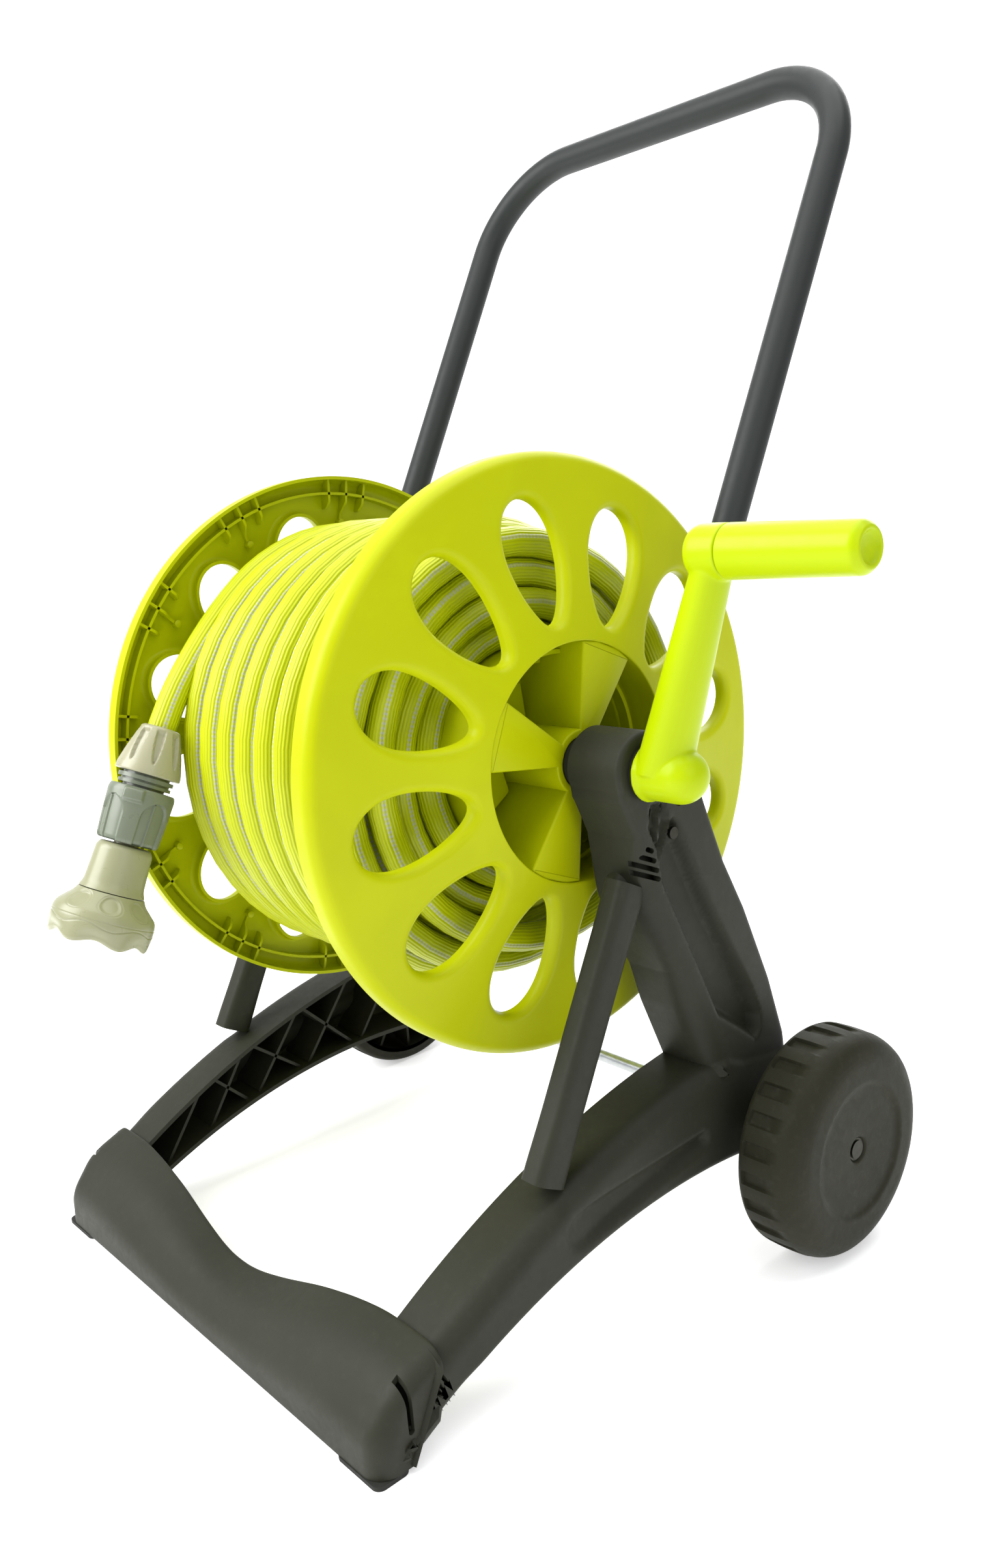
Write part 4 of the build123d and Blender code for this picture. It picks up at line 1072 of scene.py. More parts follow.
def flange_skin(roll):
    """The flange's outer skin: twelve sectors, the rim, and the roll into the drum's pocket."""
    parts = [sheet(turned_yz(sector_skin(roll), HOLE_PHASE + 2 * SECTOR * k), around=True)
             for k in range(HOLES)]
    parts.append(sheet(around_reel(rim_profile(), reel_angles()), around=True))
    pocket = rounded([(face_x(SECTOR_IN), SECTOR_IN), (face_x(POCKET_R), POCKET_R),
                      (FLANGE_X - 4, POCKET_R - 0.5)], 1.6, 7)
    parts.append(sheet(around_reel(pocket, inner_angles()), around=True))
    return parts


def flange_ribs():
    """Stiffening under the flange: a ring rib, and three radial ribs between holes, the middle one
    longer and ending in a small round knob."""
    low, under = FLANGE_X - 17.0, 2.0
    r = np.array([167.6, 169.4])
    ring = around_reel([(low, r[0]), (low, r[1]), (face_x(r[1]) - under, r[1]), (face_x(r[0]) - under, r[0])],
                       reel_angles())
    parts = [sheet(ring, around=True, loop=True)]
    for hole in range(HOLES):
        for lean, start in ((-5.0, 158.0), (0.0, 148.0), (5.0, 158.0)):
            angle = HOLE_PHASE + 2 * SECTOR * (hole + 0.5) + math.radians(lean)
            r = np.linspace(start, 178.3, 9)
            top = face_x(r) - under - 5.5 * np.clip((r - 169) / 9.3, 0, 1) ** 2
            bottom = np.minimum(top - 1.5, low + 7.5 * ease((164 - r) / 10))
            rows = [np.column_stack([x, r, np.full(9, s)]) for x, s in
                    ((bottom, -0.9), (bottom, 0.9), (top, 0.9), (top, -0.9))]
            parts += capped(turned_yz(np.stack(rows, 1), angle))
        angle = HOLE_PHASE + 2 * SECTOR * (hole + 0.5)
        knob = around_spot(149.0, angle, 2.4, FLANGE_X - 12.0, face_x(np.array(149.0)) - under)
        parts += capped(knob)
    return parts


def around_spot(radius, angle, size, low, high):
    """A small round post along X, at a radius and angle of the reel."""
    t = np.linspace(0, 2 * np.pi, 20, endpoint=False)
    rows = [np.column_stack([np.full(20, x), radius + s * np.cos(t), s * np.sin(t)])
            for x, s in ((low, size * 0.6), (low + 0.6, size), (high, size))]
    return turned_yz(np.stack(rows), angle)


def spokes():
    """Four wedges in the drum's pocket, just below the face at its edge, and the hub sleeve they meet."""
    parts = []
    for k in range(4):
        angle = HOLE_PHASE + SPOKE_TURN + math.pi / 2 * k
        outline = rounded_loop([(15, -6), (POCKET_R - 3, -20.5), (POCKET_R, -9), (POCKET_R, 9),
                                (POCKET_R - 3, 20.5), (15, 6)], 1.2, 3)
        for part_points, faces in prism(outline, POCKET_X - 1, face_x(POCKET_R) - 0.9, 1.6):
            parts.append((turned_yz(part_points, angle), faces))
    sleeve = rounded([(POCKET_X - 1, 20.5), (POCKET_X + 4, 20), (FLANGE_X + 9, 20), (FLANGE_X + 9, 15.4),
                      (POCKET_X, 15.2)], [3, 1.2, 1], 5)
    parts.append(sheet(around_reel(sleeve, np.linspace(0, 2 * np.pi, 72, endpoint=False)), around=True))
    return parts


def pocket_details():
    """What shows in the drum's pocket: its lining, the stepped floor, and small clip windows' frames."""
    lining = rounded([(FLANGE_X - 3.5, POCKET_R - 0.5), (FLANGE_X - 14, POCKET_R - 1.5),
                      (FLANGE_X - 18, DRUM_R - 3.2), (POCKET_X + 2, DRUM_R - 4),
                      (POCKET_X + 0.6, DRUM_R - 7), (POCKET_X + 0.6, 20)], 2, 5)
    parts = [sheet(around_reel(lining, np.linspace(0, 2 * np.pi, 96, endpoint=False)), around=True)]
    for k in range(4):
        middle_angle = HOLE_PHASE + SPOKE_TURN + math.pi / 2 * (k + 0.5)
        step = rounded_loop([(22, -9), (44, -15), (46, 15), (24, 11)], 2, 3)
        for part_points, faces in prism(step, POCKET_X, POCKET_X + 9, 1.5):
            parts.append((turned_yz(part_points, middle_angle), faces))
        window = rounded_loop([(57, -3.6), (61, -3.6), (61, 3.6), (57, 3.6)], 0.6, 2)
        for lean in (-0.42, 0.42):
            for part_points, faces in prism(window, POCKET_X + 12, POCKET_X + 19, 0.6):
                parts.append((turned_yz(part_points, middle_angle + lean), faces))
    return parts


def build_reel(sizes):
    """Both flanges, with their ribs, spokes and pockets."""
    skin = flange_skin(sizes.hole_roll / MM)
    for name, side in SIDES.items():
        face = put(f"flange_{name}_face", make_mesh("flange_face", mirrored(skin, side), 0.03))
        face_out(face.data, (side, 0, 0))
        thicken(face, FLANGE_WALL)
        finish_piece(face, MATERIALS["lime_plastic"], "reel", [f"flange_{name}"])
        inner = put(f"flange_{name}_ribs", make_mesh("flange_ribs", mirrored(flange_ribs(), side)))
        finish_piece(inner, MATERIALS["lime_plastic"], "reel")
        hub = put(f"flange_{name}_spokes", make_mesh("flange_spokes", mirrored(spokes(), side)))
        finish_piece(hub, MATERIALS["lime_plastic"], "reel")
        lining = put(f"flange_{name}_pocket", make_mesh("flange_pocket", mirrored(pocket_details(), side)))
        finish_piece(lining, MATERIALS["lime_plastic"], "reel")


# ---------------------------------------------------------------- crank
def crank_body():
    """Boss with its round end, oval arm and knuckle, as closed overlapping solids."""
    axis = (CRANK_X, 0, REEL_Z)
    dome = 22.8
    t = np.linspace(0, np.pi / 2, 12)
    profile = np.vstack([[(0, 0.01), (0, 17), (2.6, 17), (3.0, CRANK_R), (dome, CRANK_R)],
                         np.column_stack([dome + CRANK_R * np.sin(t[1:]), CRANK_R * np.cos(t[1:]) + 0.01])])
    boss = capped(lathe(profile, axis, (1, 0, 0), (0, 0, 1), 72))
    z = np.linspace(0, 1, 40)
    angle = np.linspace(0, 2 * np.pi, 56, endpoint=False)
    half_x = 15.5 - 5.0 * z
    half_y = 17.3 - 5.6 * z
    centre_x = 198 + 42 * z
    x = np.maximum(centre_x[:, None] + half_x[:, None] * np.cos(angle), CRANK_X + 0.4)
    y = half_y[:, None] * np.sin(angle)
    height = np.broadcast_to(REEL_Z + 2 + (CRANK_THROW - 4) * z[:, None], x.shape)
    arm = capped(np.stack([x, y, height], -1))
    knuckle_profile = rounded([(0, 0.01), (0, GRIP_R + 1.2), (KNUCKLE_LENGTH, GRIP_R + 0.9),
                               (KNUCKLE_LENGTH, 0.01)], [7, 0.3], 9)
    knuckle = capped(lathe(knuckle_profile, (KNUCKLE_X, 0, REEL_Z + CRANK_THROW), (1, 0, 0),
                           (0, 0, 1), 72))
    return [boss, arm, knuckle]


def build_crank():
    """The crank arm, melted together from its solids and smoothed, and the turning grip with its dimple."""
    solids = [part for solid in crank_body() for part in solid]
    arm = put("crank_arm_body", make_mesh("crank_arm_body", solids))
    melt = arm.modifiers.new("melt", "REMESH")
    melt.mode = "VOXEL"
    melt.voxel_size = 1.0 * MM
    soften = arm.modifiers.new("soften", "SMOOTH")
    soften.factor = 0.5
    soften.iterations = 7
    settle(arm)
    finish_piece(arm, MATERIALS["crank"], "reel", ["crank_arm"], 60)
    end = GRIP_END - GRIP_START
    profile = rounded([(0, 5.3), (0, GRIP_R + 0.6), (0.5, GRIP_R + 0.8), (end - 3.5, GRIP_R - 0.4),
                       (end, GRIP_R - 3.4), (end, 8.4), (end - 2.2, 6.6), (end - 3.2, 0.01)],
                      [0.3, 0.3, 3.5, 3, 1.2, 3], 7)
    rings = lathe(profile, (GRIP_START, 0, REEL_Z + CRANK_THROW), (1, 0, 0), (0, 0, 1), 80)
    grip = put("crank_grip_sleeve", make_mesh("crank_grip_sleeve", capped(rings)))
    finish_piece(grip, MATERIALS["crank"], "crank_grip", ["crank_grip", "grip_cap"])


# ---------------------------------------------------------------- wheels
def wheel_parts(grooves, depth):
    """The wheel: its outside and hollow in one turned outline, with tread grooves, and its spokes inside.

    A groove's depth is a smooth block round the tread, times a block across it that starts sharply
    beside the inner edge and fades out on the shoulder.
    """
    outside = rounded([(0, 60), (0, 69.5), (3, 71.6), (16, WHEEL_R), (28, 71.3), (36.5, 67.5), (41, 58),
                       (41.5, 44), (39.8, 41), (39.4, 38), (38.8, 12), (38.6, 8.6), (36.5, 7.2), (34.5, 7.0)],
                      [2, 3, 12, 14, 9, 9, 2, 2, 3, 2, 1, 1], 5)
    outside = even(outside, 200)

    def cut_grooves(a, r, angle):
        phase = np.abs((angle * grooves / (2 * np.pi) + 0.5) % 1 - 0.5)
        around = ease((0.235 - phase) / 0.045)
        across = ease((a - 3.6) / 1.0) * ease((31 - a) / 15)
        on_tread = r > WHEEL_R - 9
        return a, r - np.where(on_tread, depth * around * across, 0)

    start, axis, up = (WHEEL_IN, AXLE_Y, AXLE_Z), (1, 0, 0), (0, 0, 1)
    tread = lathe(outside, start, axis, up, grooves * 20, cut_grooves)
    hollow = [(34.5, 7.0), (0.5, 7.0), (0.5, 11.5), (34, 12), (35.5, 52), (30, 62), (2, 65.5), (0, 64.5),
              (0, 60)]
    inside = lathe(rounded(hollow, 1.5, 3), start, axis, up, 96)
    parts = [sheet(tread, around=True), sheet(inside, around=True)]
    for k in range(12):
        angle = 2 * math.pi / 12 * k
        rows = []
        for along, low, high in ((6.0, 11, 64), (34.5, 11, 54)):
            for s in (-1.2, 1.2):
                r = np.array([low, high], float)
                rows.append(np.column_stack([np.full(2, WHEEL_IN + along),
                                             AXLE_Y + r * math.cos(angle) - s * math.sin(angle),
                                             AXLE_Z + r * math.sin(angle) + s * math.cos(angle)]))
        order = [rows[0], rows[1], rows[3], rows[2]]
        parts += capped(np.stack(order, 1))
    return parts


def build_wheels(sizes):
    """Both wheels."""
    parts = wheel_parts(sizes.tread_grooves, sizes.groove_depth / MM)
    for name, side in SIDES.items():
        wheel = put(f"wheel_{name}_moulding", make_mesh("wheel_moulding", mirrored(parts, side)))
        finish_piece(wheel, MATERIALS["wheel_plastic"], f"wheel_{name}",
                     [f"wheel_{name}"], 45)


# ---------------------------------------------------------------- hose
PER_TURN = 16
TAIL_ANGLES = (96, 110, 124, 139)
WOUND_TURNS = 36
FIRST_TURNS = 2.2
LEFT_X, RIGHT_X = TAIL_X, 92.0
OUTLET_X = -40.0


def on_nut_axis(along):
    """A point of the connector's axis, measured from the nut's hose end."""
    return np.array([NOZZLE_X, NUT_YZ[0] + NUT_WAY[0] * along, NUT_YZ[1] + NUT_WAY[1] * along])


def layer_radius(layer, x):
    """Radius of a winding layer's centre line at x: layers climb 16.1 mm on the left and 18 mm on the
    right, where there is one layer fewer, and ease over between."""
    left = DRUM_R + HOSE_R + 0.5 + 16.1 * layer
    right = DRUM_R + HOSE_R + 0.5 + 18.0 * (layer - 1)
    return left + (right - left) * ease((x - (30 * (layer - 1) - 50)) / 40)


def wound_points():
    """Control points of the winding, PER_TURN to a turn, from the outlet in the drum to the tail.

    Layer 0 runs left from the outlet, and layers 1 to 4 run right, left, right and left. Within a
    third of a turn of each end the layer number rises from one layer to the next.
    """
    count = WOUND_TURNS * PER_TURN
    turns = np.arange(1, count) / PER_TURN
    layer_turns = (WOUND_TURNS - FIRST_TURNS) / 4
    ends = FIRST_TURNS + layer_turns * np.arange(5)
    x = np.interp(turns, np.concatenate([[0], ends]), [OUTLET_X, LEFT_X, RIGHT_X, LEFT_X, RIGHT_X, LEFT_X])
    layer = np.zeros(len(turns))
    for end in ends[:-1]:
        layer = layer + ease((turns - end) / 0.34 + 0.5)
    r = layer_radius(layer, x) / math.cos(math.pi / PER_TURN)
    angle = math.radians(TAIL_ANGLES[0]) + 2 * math.pi * turns
    return np.column_stack([x, r * np.cos(angle), REEL_Z + r * np.sin(angle)])


def hose_points():
    """The hose's route: out of the drum, the winding, and the tail that hangs to the connector."""
    start = []
    for r, angle in ((60.0, 92), (68.0, 96), (75.5, 106)):
        a = math.radians(angle)
        start.append([OUTLET_X, r * math.cos(a), REEL_Z + r * math.sin(a)])
    wound = wound_points()
    tail = []
    for angle in TAIL_ANGLES:
        a = math.radians(angle)
        tail.append([TAIL_X, 140.5 * math.cos(a), REEL_Z + 140.5 * math.sin(a)])
    tail.append([-80, -133, REEL_Z + 66])
    return np.vstack([start, wound, tail, on_nut_axis(-12), on_nut_axis(14)])


def hose_line():
    """The hose's smooth line, read from a NURBS spline through its control points, in millimetres."""
    curve = bpy.data.curves.new("hose_route", "CURVE")
    curve.dimensions = "3D"
    curve.resolution_u = 3
    spline = curve.splines.new("NURBS")
    points = to_frame(hose_points())
    spline.points.add(len(points) - 1)
    spline.points.foreach_set("co", np.column_stack([points, np.ones(len(points))]).ravel())
    spline.order_u = 3
    spline.use_endpoint_u = True
    route = bpy.data.objects.new("hose_route", curve)
    bpy.context.scene.collection.objects.link(route)
    bpy.context.view_layer.update()
    line = bpy.data.meshes.new_from_object(route)
    spots = np.zeros(len(line.vertices) * 3)
    line.vertices.foreach_get("co", spots)
    bpy.data.objects.remove(route)
    bpy.data.meshes.remove(line)
    return spots.reshape(-1, 3)


def build_hose():
    """The whole hose as one ribbed tube along its line, with UV x round it and y along it in metres."""
    line = hose_line()
    axis = to_frame([0, 0, REEL_Z])
    way = np.gradient(line, axis=0)
    way = way / np.linalg.norm(way, axis=1, keepdims=True)
    out = (line - axis) * np.array([0, 1, 1])
    out = out - way * np.sum(out * way, 1, keepdims=True)
    out = out / np.linalg.norm(out, axis=1, keepdims=True)
    side = np.cross(way, out)
    steps = 32
    along = np.concatenate([[0], np.cumsum(np.linalg.norm(np.diff(line, axis=0), axis=1))])
    twist = 0.25 * np.sin(along * 0.9)
    t = np.linspace(0, 2 * np.pi, steps, endpoint=False)[None, :] + twist[:, None]
    radius = HOSE_R * MM
    ring = np.cos(t)[..., None] * out[:, None] + np.sin(t)[..., None] * side[:, None]
    rings = line[:, None] + radius * ring
    faces = quads(len(line), steps, around=True)
    mesh = bpy.data.meshes.new("hose")
    caps = [list(range(steps)), list(range((len(line) - 1) * steps, len(line) * steps))]
    mesh.from_pydata(rings.reshape(-1, 3).tolist(), [], faces.tolist() + [caps[0][::-1], caps[1]])
    i, j = np.divmod(np.arange(len(faces)), steps)
    u = np.stack([j, j + 1, j + 1, j], 1) / steps
    v = np.stack([along[i], along[i], along[i + 1], along[i + 1]], 1)
    uv = np.concatenate([np.stack([u, v], -1).reshape(-1, 2), np.zeros((2 * steps, 2))])
    mesh.uv_layers.new(name="hose").data.foreach_set("uv", uv.ravel())
    work = bmesh.new()
    work.from_mesh(mesh)
    bmesh.ops.recalc_face_normals(work, faces=work.faces)
    work.to_mesh(mesh)
    work.free()
    hose = put("hose", mesh)
    finish_piece(hose, MATERIALS["hose_pvc"], "reel", ["hose_winding", "hose_tail"], 70)


# ---------------------------------------------------------------- connector and nozzle
def on_connector(profile, steps, shape=None):
    """A closed turned outline about the connector's axis; angle 0 looks along +X."""
    rings = lathe(profile, on_nut_axis(0), (0, *NUT_WAY), (1, 0, 0), steps, shape)
    return sheet(rings, around=True, loop=True)


def nut_parts(flutes):
    """The hose nut: a cone that swells to its rim, with long finger flutes.

    Each flute sinks by 2.2 mm times a rounded block in angle, whose width falls as a square root along
    the cone, and an easing at the hose end.
    """
    profile = rounded([(0.6, 9.1), (0, 10.6), (1.2, 12.4), (6, 14.2), (16, 17.4), (27, 20.2), (30.5, 20.4),
                       (31, 19.6), (31, 14.6), (14, 14.6), (14, 9.1)], [0.5, 0.8, 3, 5, 5, 1, 0.4, 0.4, 1], 6)
    profile = even(profile, 150)

    def press(a, r, angle):
        phase = np.abs((angle * flutes / (2 * np.pi)) % 1 - 0.5) * 2
        width = 0.62 * np.sqrt(np.clip((24.5 - a) / 22, 0, 1))
        inside = ease((width - phase) / 0.2 + 0.1)
        outer_side = r > 9.6 + 0.3 * a
        return a, r - np.where(outer_side, 2.2 * inside * ease((a - 1.2) / 5), 0)

    return [on_connector(profile, 192, press)]


def collar_parts():
    """The release collar: a sleeve with an arched window, raised ribs beside it and two finger lugs."""
    profile = rounded([(40, 17.9), (40.2, 19.9), (43, 20.8), (60, 20.1), (73, 19.3), (75, 18.4), (75, 13.1),
                       (48, 13.1), (48, 17.9)], [0.6, 1.5, 4, 3, 1, 0.5, 1], 6)
    profile = even(profile, 170)

    def shape(a, r, angle):
        turned = (angle / (2 * np.pi) * 4 + 0.62) % 1 - 0.5
        half = 0.33 * np.sqrt(np.clip(1 - ((58 - a) / 11) ** 2 * (a < 58), 0, 1))
        window = ease((half - np.abs(turned)) / 0.035) * (a > 46.8)
        rib = ease((0.035 - np.abs(turned - 0.08)) / 0.02) * (a > 48)
        lug_angle = np.abs((angle / np.pi + 0.28) % 1 - 0.5)
        lug = ease((0.11 - lug_angle) / 0.03) * ease((a - 40.4) / 1.5) * ease((50 - a) / 2.5)
        outer_side = r > 17.95
        return a, r + np.where(outer_side, -1.7 * window + 1.1 * rib * window + 2.2 * lug, 0)

    return [on_connector(profile, 256, shape)]


def nozzle_parts():
    """The nozzle's fixed body: a sleeve that flares towards the head."""
    profile = rounded([(59, 4.5), (59, 7.8), (76.5, 7.8), (76.5, 15.5), (79.5, 17.5), (90, 18.0), (102, 18.6),
                       (106.5, 20.5), (106.5, 8.0), (128, 8.0), (128, 4.5)],
                      [0.5, 0.5, 1, 2, 4, 4, 0.3, 0.5, 0.5], 6)
    return [on_connector(profile, 128)]


def head_parts():
    """The nozzle's head: it flares, has thumb petals outlined by fine grooves, a wavy parting line and a
    scalloped rim round its open front.

    A petal sinks 1.1 mm inside its outline, and the rim comes back by 3.4 mm as a cosine with six waves.
    """
    profile = rounded([(107, 8.1), (107, 20.6), (110, 22.4), (113.5, 26.2), (118, 30.6), (123, 32.0),
                       (130, 31.7), (137.4, 30.6), (139, 29.2), (138.2, 26.4), (130.5, 21), (129.5, 8.1)],
                      [0.4, 3, 5, 5, 5, 4, 1.2, 1, 2, 1], 7)
    profile = even(profile, 220)

    def shape(a, r, angle):
        outer_side = r > 20.4
        phase = (angle / (2 * np.pi) * 8) % 1 - 0.5
        petal = 0.36 - np.hypot(phase, (a - 113.5) / 16)
        dish = 1.1 * ease(petal / 0.14)
        line = 0.35 * ease((0.03 - np.abs(petal)) / 0.03)
        wave = 126.5 + 1.6 * np.sin(6 * angle)
        seam = 0.4 * ease((0.55 - np.abs(a - wave)) / 0.4)
        second = 0.3 * ease((0.5 - np.abs(a - 123.4)) / 0.4)
        r = r - np.where(outer_side, dish + line + seam + second, 0)
        lobes = 0.5 + 0.5 * np.cos(6 * angle)
        r = r - np.where(outer_side & (a > 126), 1.6 * (1 - lobes) * ease((a - 126) / 10), 0)
        a = a - 3.4 * (1 - lobes) * ease((a - 128) / 10) * ease((r - 20) / 6)
        return a, r

    return [on_connector(profile, 288, shape)]


def nozzle_face():
    """The spray plate in the head's open front: a shallow dome with rings of small round studs."""
    plate = rounded([(129.2, 20.9), (130.6, 20.4), (131.4, 12), (132.2, 0.05)], 2, 5)
    rings = lathe(plate, on_nut_axis(0), (0, *NUT_WAY), (1, 0, 0), 72)
    parts = [sheet(rings, around=True), lid(rings[-1])]
    for radius, count in ((5.5, 6), (11.0, 12), (16.5, 18)):
        for k in range(count):
            angle = 2 * math.pi * k / count
            offset = radius * np.array([math.cos(angle), 0, 0]) \
                + radius * math.sin(angle) * np.cross((0, *NUT_WAY), (1, 0, 0))
            stud = lathe(rounded([(130.4, 1.3), (132.8, 1.1), (133, 0.05)], 0.3, 3), on_nut_axis(0) + offset,
                         (0, *NUT_WAY), (1, 0, 0), 10)
            parts += [sheet(stud, around=True), lid(stud[-1])]
    return parts


def build_connector(sizes):
    """The hose nut, release collar, nozzle body and head."""
    made = {
        "connector_nut_moulding": (nut_parts(sizes.nut_flutes), "nut_plastic", "reel", ["connector_nut"]),
        "connector_collar_moulding": (collar_parts(), "collar_plastic", "connector_collar",
                                      ["connector_collar"]),
        "nozzle_body_moulding": (nozzle_parts(), "nozzle_plastic", "reel", ["nozzle_body"]),
        "nozzle_head_moulding": (head_parts(), "nozzle_plastic", "nozzle_head", ["nozzle_head"]),
        "nozzle_spray_plate": (nozzle_face(), "nozzle_plastic", "nozzle_head", []),
    }
    for name, (parts, slot, body, nodes) in made.items():
        piece = put(name, make_mesh(name, parts))
        finish_piece(piece, MATERIALS[slot], body, nodes, 50)


# ---------------------------------------------------------------- CAD nodes that stay
KEPT = {
    "seal_rubber": ["foot_pads", "inlet_seals", "nozzle_seal"],
    "handle_paint": ["handle_end_plugs"],
    "zinc_steel": ["wheel_axle", "drum_screws", "crank_pin", "grip_pin"],
    "blackened": ["handle_screws", "inlet_screws", "axle_caps"],
    "bearing_plastic": ["hub_bush_right", "hub_bush_left", "inlet_connector", "wheel_sleeve_right",
                        "wheel_sleeve_left", "outlet_elbow", "outlet_nut"],
    "lime_plastic": ["drum_shell"],
    "dark_plastic": ["crank_shaft", "water_shaft"],
    "collar_plastic": ["connector_body"],
}


def dress_kept_nodes():
    """Gives each CAD node that is shown as it is the material of its slot."""
    for slot, names in KEPT.items():
        for name in names:
            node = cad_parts[name]
            node.data.materials.clear()
            node.data.materials.append(MATERIALS[slot])


# ---------------------------------------------------------------- stage, light and camera
EYE = (656.2, -515.0, 478.5)
YAW, PITCH, ROLL = 0.864, 0.217, -0.079
FOCAL = 29.13


def build_stage():
    """Pale floor, soft studio lights and the camera."""
    half, curve_r = 6000.0, 900.0
    t = np.linspace(0, np.pi / 2, 16)
    back = 3200.0
    curve = np.column_stack([back + curve_r * np.sin(t), curve_r * (1 - np.cos(t))])
    profile = np.vstack([[(-half, 0)], curve, [(back + curve_r, 5200)]])
    away = np.array([-math.sin(YAW), math.cos(YAW)])
    side = np.array([math.cos(YAW), math.sin(YAW)])
    grid = np.stack([np.column_stack([p * away[0] + s * side[0], p * away[1] + s * side[1], z])
                     for s in (-half, half) for p, z in [(profile[:, 0], profile[:, 1])]], 1)
    floor = put("studio_floor", make_mesh("studio_floor", [sheet(grid)]))
    floor.data.shade_smooth()
    face_out(floor.data, (0, 0, 1))
    floor.data.materials.append(studio_paper())

    def lamp(name, spot, aim, size, power):
        light = bpy.data.lights.new(name, "AREA")
        light.shape = "RECTANGLE"
        light.size, light.size_y = size
        light.energy = power
        holder = bpy.data.objects.new(name, light)
        bpy.context.scene.collection.objects.link(holder)
        place = to_frame(spot)
        way = to_frame(aim) - place
        way = way / np.linalg.norm(way)
        right = np.cross(way, (0, 0, 1.0))
        right = right / np.linalg.norm(right)
        turn = Matrix(np.column_stack([right, np.cross(right, way), -way]).tolist()).to_4x4()
        turn.translation = place
        holder.matrix_world = turn

    lamp("key_light", (-700, -1500, 1500), (0, 0, 300), (1.5, 1.5), 62)
    lamp("side_light", (1900, -300, 1300), (0, 0, 300), (1.4, 1.4), 9)
    lamp("top_light", (100, 200, 2300), (0, 1, 300), (2.2, 2.2), 42)
    lamp("back_light", (-900, 1700, 1500), (0, 0, 300), (2.0, 1.2), 26)

    bpy.context.scene.view_settings.view_transform = "Standard"
    world = bpy.data.worlds.new("studio_air")
    world.use_nodes = True
    world.node_tree.nodes["Background"].inputs[0].default_value = opaque(linear("FCFCFF"))
    world.node_tree.nodes["Background"].inputs[1].default_value = 0.45
    bpy.context.scene.world = world

    camera = bpy.data.objects.new("camera", bpy.data.cameras.new("camera"))
    bpy.context.scene.collection.objects.link(camera)
    camera.data.lens = FOCAL
    camera.data.sensor_width = 36
    camera.data.clip_start, camera.data.clip_end = 0.01, 60
    look = np.array([-math.sin(YAW) * math.cos(PITCH), math.cos(YAW) * math.cos(PITCH), -math.sin(PITCH)])
    level = np.array([math.cos(YAW), math.sin(YAW), 0.0])
    upright = np.cross(level, look)
    right = math.cos(ROLL) * level + math.sin(ROLL) * upright
    up = -math.sin(ROLL) * level + math.cos(ROLL) * upright
    turn = Matrix(np.column_stack([right, up, -look]).tolist()).to_4x4()
    turn.translation = to_frame(EYE)
    camera.matrix_world = turn
    bpy.context.scene.camera = camera


# ---------------------------------------------------------------- operators and panel
class HOSEREEL_OT_materials(bpy.types.Operator):
    """Make the materials and give them to the CAD nodes that stay"""
    bl_idname = "hosereel.materials"
    bl_label = "Materials"

    def execute(self, context):
        make_materials(context.scene.reel_colours, context.scene.reel_sizes)
        dress_kept_nodes()
        return {"FINISHED"}


class HOSEREEL_OT_frames(bpy.types.Operator):
    """Build the two side frames"""
    bl_idname = "hosereel.frames"
    bl_label = "Side frames"

    def execute(self, context):
        build_frames(context.scene.reel_sizes)
        return {"FINISHED"}


class HOSEREEL_OT_foot_bar(bpy.types.Operator):
    """Build the front foot bar"""
    bl_idname = "hosereel.foot_bar"
    bl_label = "Foot bar"

    def execute(self, context):
        build_foot_bar()
        return {"FINISHED"}


class HOSEREEL_OT_handle(bpy.types.Operator):
    """Build the bent handle and its collars"""
    bl_idname = "hosereel.handle"
    bl_label = "Handle"

    def execute(self, context):
        build_handle()
        return {"FINISHED"}


class HOSEREEL_OT_reel(bpy.types.Operator):
    """Build the reel's flanges, ribs, spokes and pockets"""
    bl_idname = "hosereel.reel"
    bl_label = "Reel"

    def execute(self, context):
        build_reel(context.scene.reel_sizes)
        return {"FINISHED"}


class HOSEREEL_OT_crank(bpy.types.Operator):
    """Build the crank arm and its grip"""
    bl_idname = "hosereel.crank"
    bl_label = "Crank"

    def execute(self, context):
        build_crank()
        return {"FINISHED"}


class HOSEREEL_OT_wheels(bpy.types.Operator):
    """Build the two wheels"""
    bl_idname = "hosereel.wheels"
    bl_label = "Wheels"

    def execute(self, context):
        build_wheels(context.scene.reel_sizes)
        return {"FINISHED"}


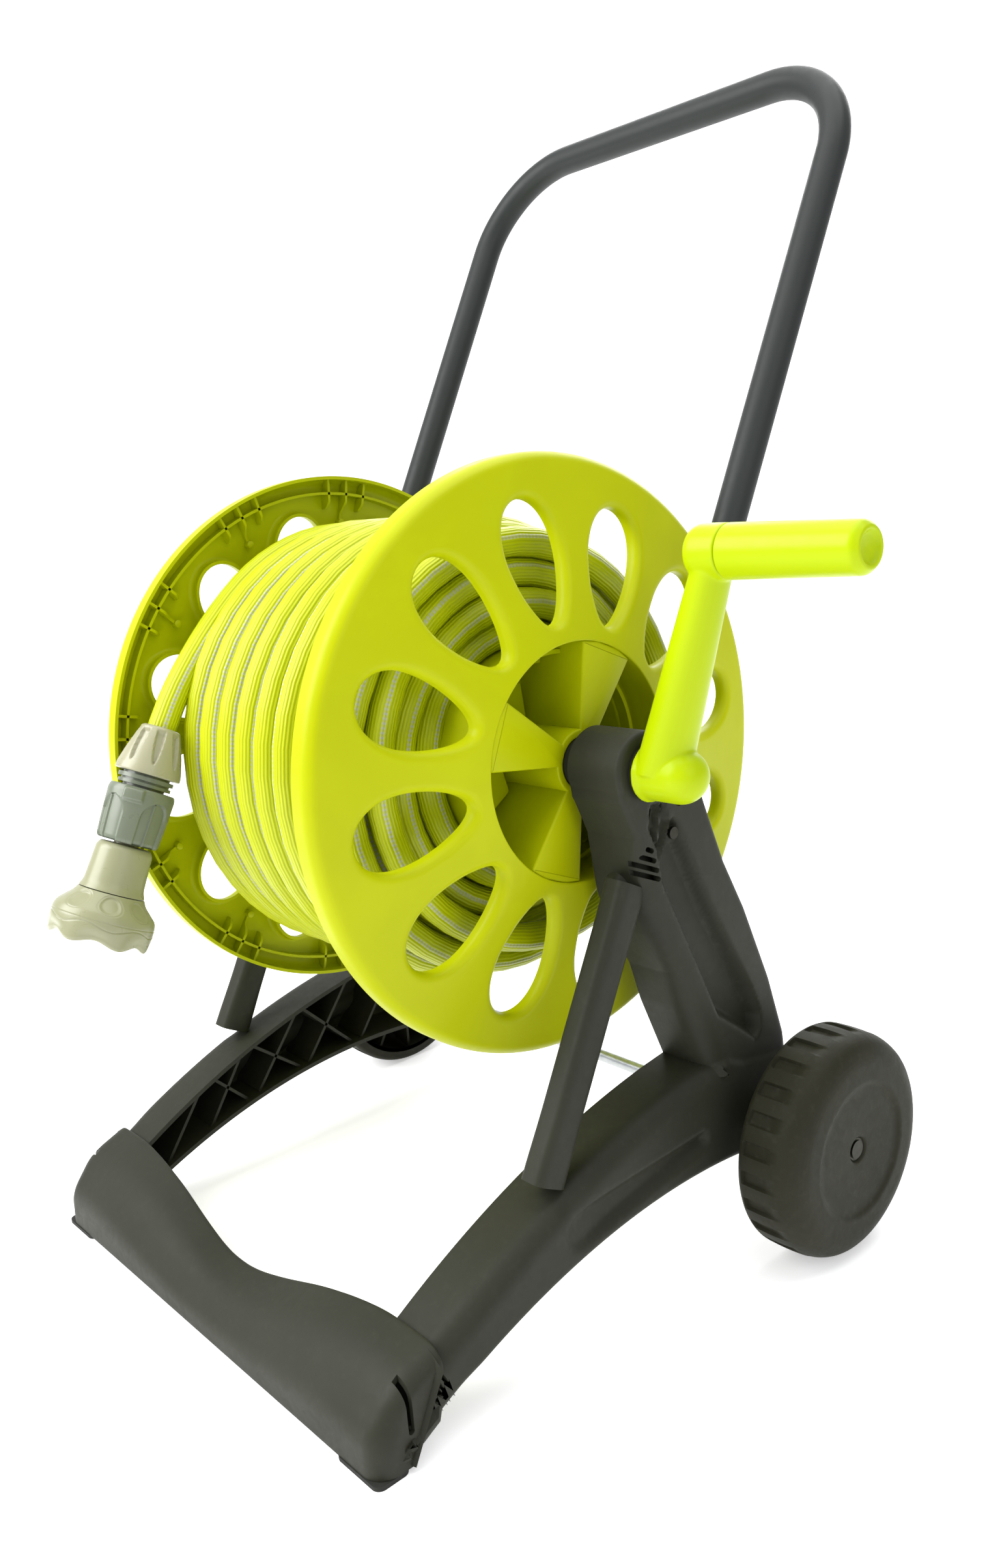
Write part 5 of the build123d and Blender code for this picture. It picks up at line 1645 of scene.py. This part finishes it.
class HOSEREEL_OT_connector(bpy.types.Operator):
    """Build the hose connector and the spray nozzle"""
    bl_idname = "hosereel.connector"
    bl_label = "Connector and nozzle"

    def execute(self, context):
        build_connector(context.scene.reel_sizes)
        return {"FINISHED"}


class HOSEREEL_OT_hose(bpy.types.Operator):
    """Build the wound hose and its hanging end"""
    bl_idname = "hosereel.hose"
    bl_label = "Hose"

    def execute(self, context):
        build_hose()
        return {"FINISHED"}


class HOSEREEL_OT_stage(bpy.types.Operator):
    """Build the floor, lights and camera"""
    bl_idname = "hosereel.stage"
    bl_label = "Stage"

    def execute(self, context):
        build_stage()
        return {"FINISHED"}


class HOSEREEL_PT_panel(bpy.types.Panel):
    """Lists the sizes, colours and build steps in the sidebar."""
    bl_idname = "HOSEREEL_PT_panel"
    bl_label = "Hose reel cart"
    bl_space_type = "VIEW_3D"
    bl_region_type = "UI"
    bl_category = "Hose Reel"

    def draw(self, context):
        for group in (context.scene.reel_sizes, context.scene.reel_colours):
            box = self.layout.box()
            for name in group.__annotations__:
                box.prop(group, name)
        for step in STEPS:
            self.layout.operator(step.bl_idname)


STEPS = (HOSEREEL_OT_materials, HOSEREEL_OT_frames, HOSEREEL_OT_foot_bar, HOSEREEL_OT_handle,
         HOSEREEL_OT_reel, HOSEREEL_OT_crank, HOSEREEL_OT_wheels, HOSEREEL_OT_connector,
         HOSEREEL_OT_hose, HOSEREEL_OT_stage)
CLASSES = (ReelColours, ReelSizes) + STEPS + (HOSEREEL_PT_panel,)


def register():
    """Registers the classes and puts both groups on the scene."""
    for made in CLASSES:
        bpy.utils.register_class(made)
    bpy.types.Scene.reel_colours = PointerProperty(type=ReelColours)
    bpy.types.Scene.reel_sizes = PointerProperty(type=ReelSizes)


def unregister():
    """Takes both groups and the classes away again."""
    del bpy.types.Scene.reel_sizes
    del bpy.types.Scene.reel_colours
    for made in reversed(CLASSES):
        bpy.utils.unregister_class(made)


def main():
    """Builds the cart step by step."""
    register()
    for step in STEPS:
        group, name = step.bl_idname.split(".")
        getattr(getattr(bpy.ops, group), name)()


if __name__ == "__main__":
    main()
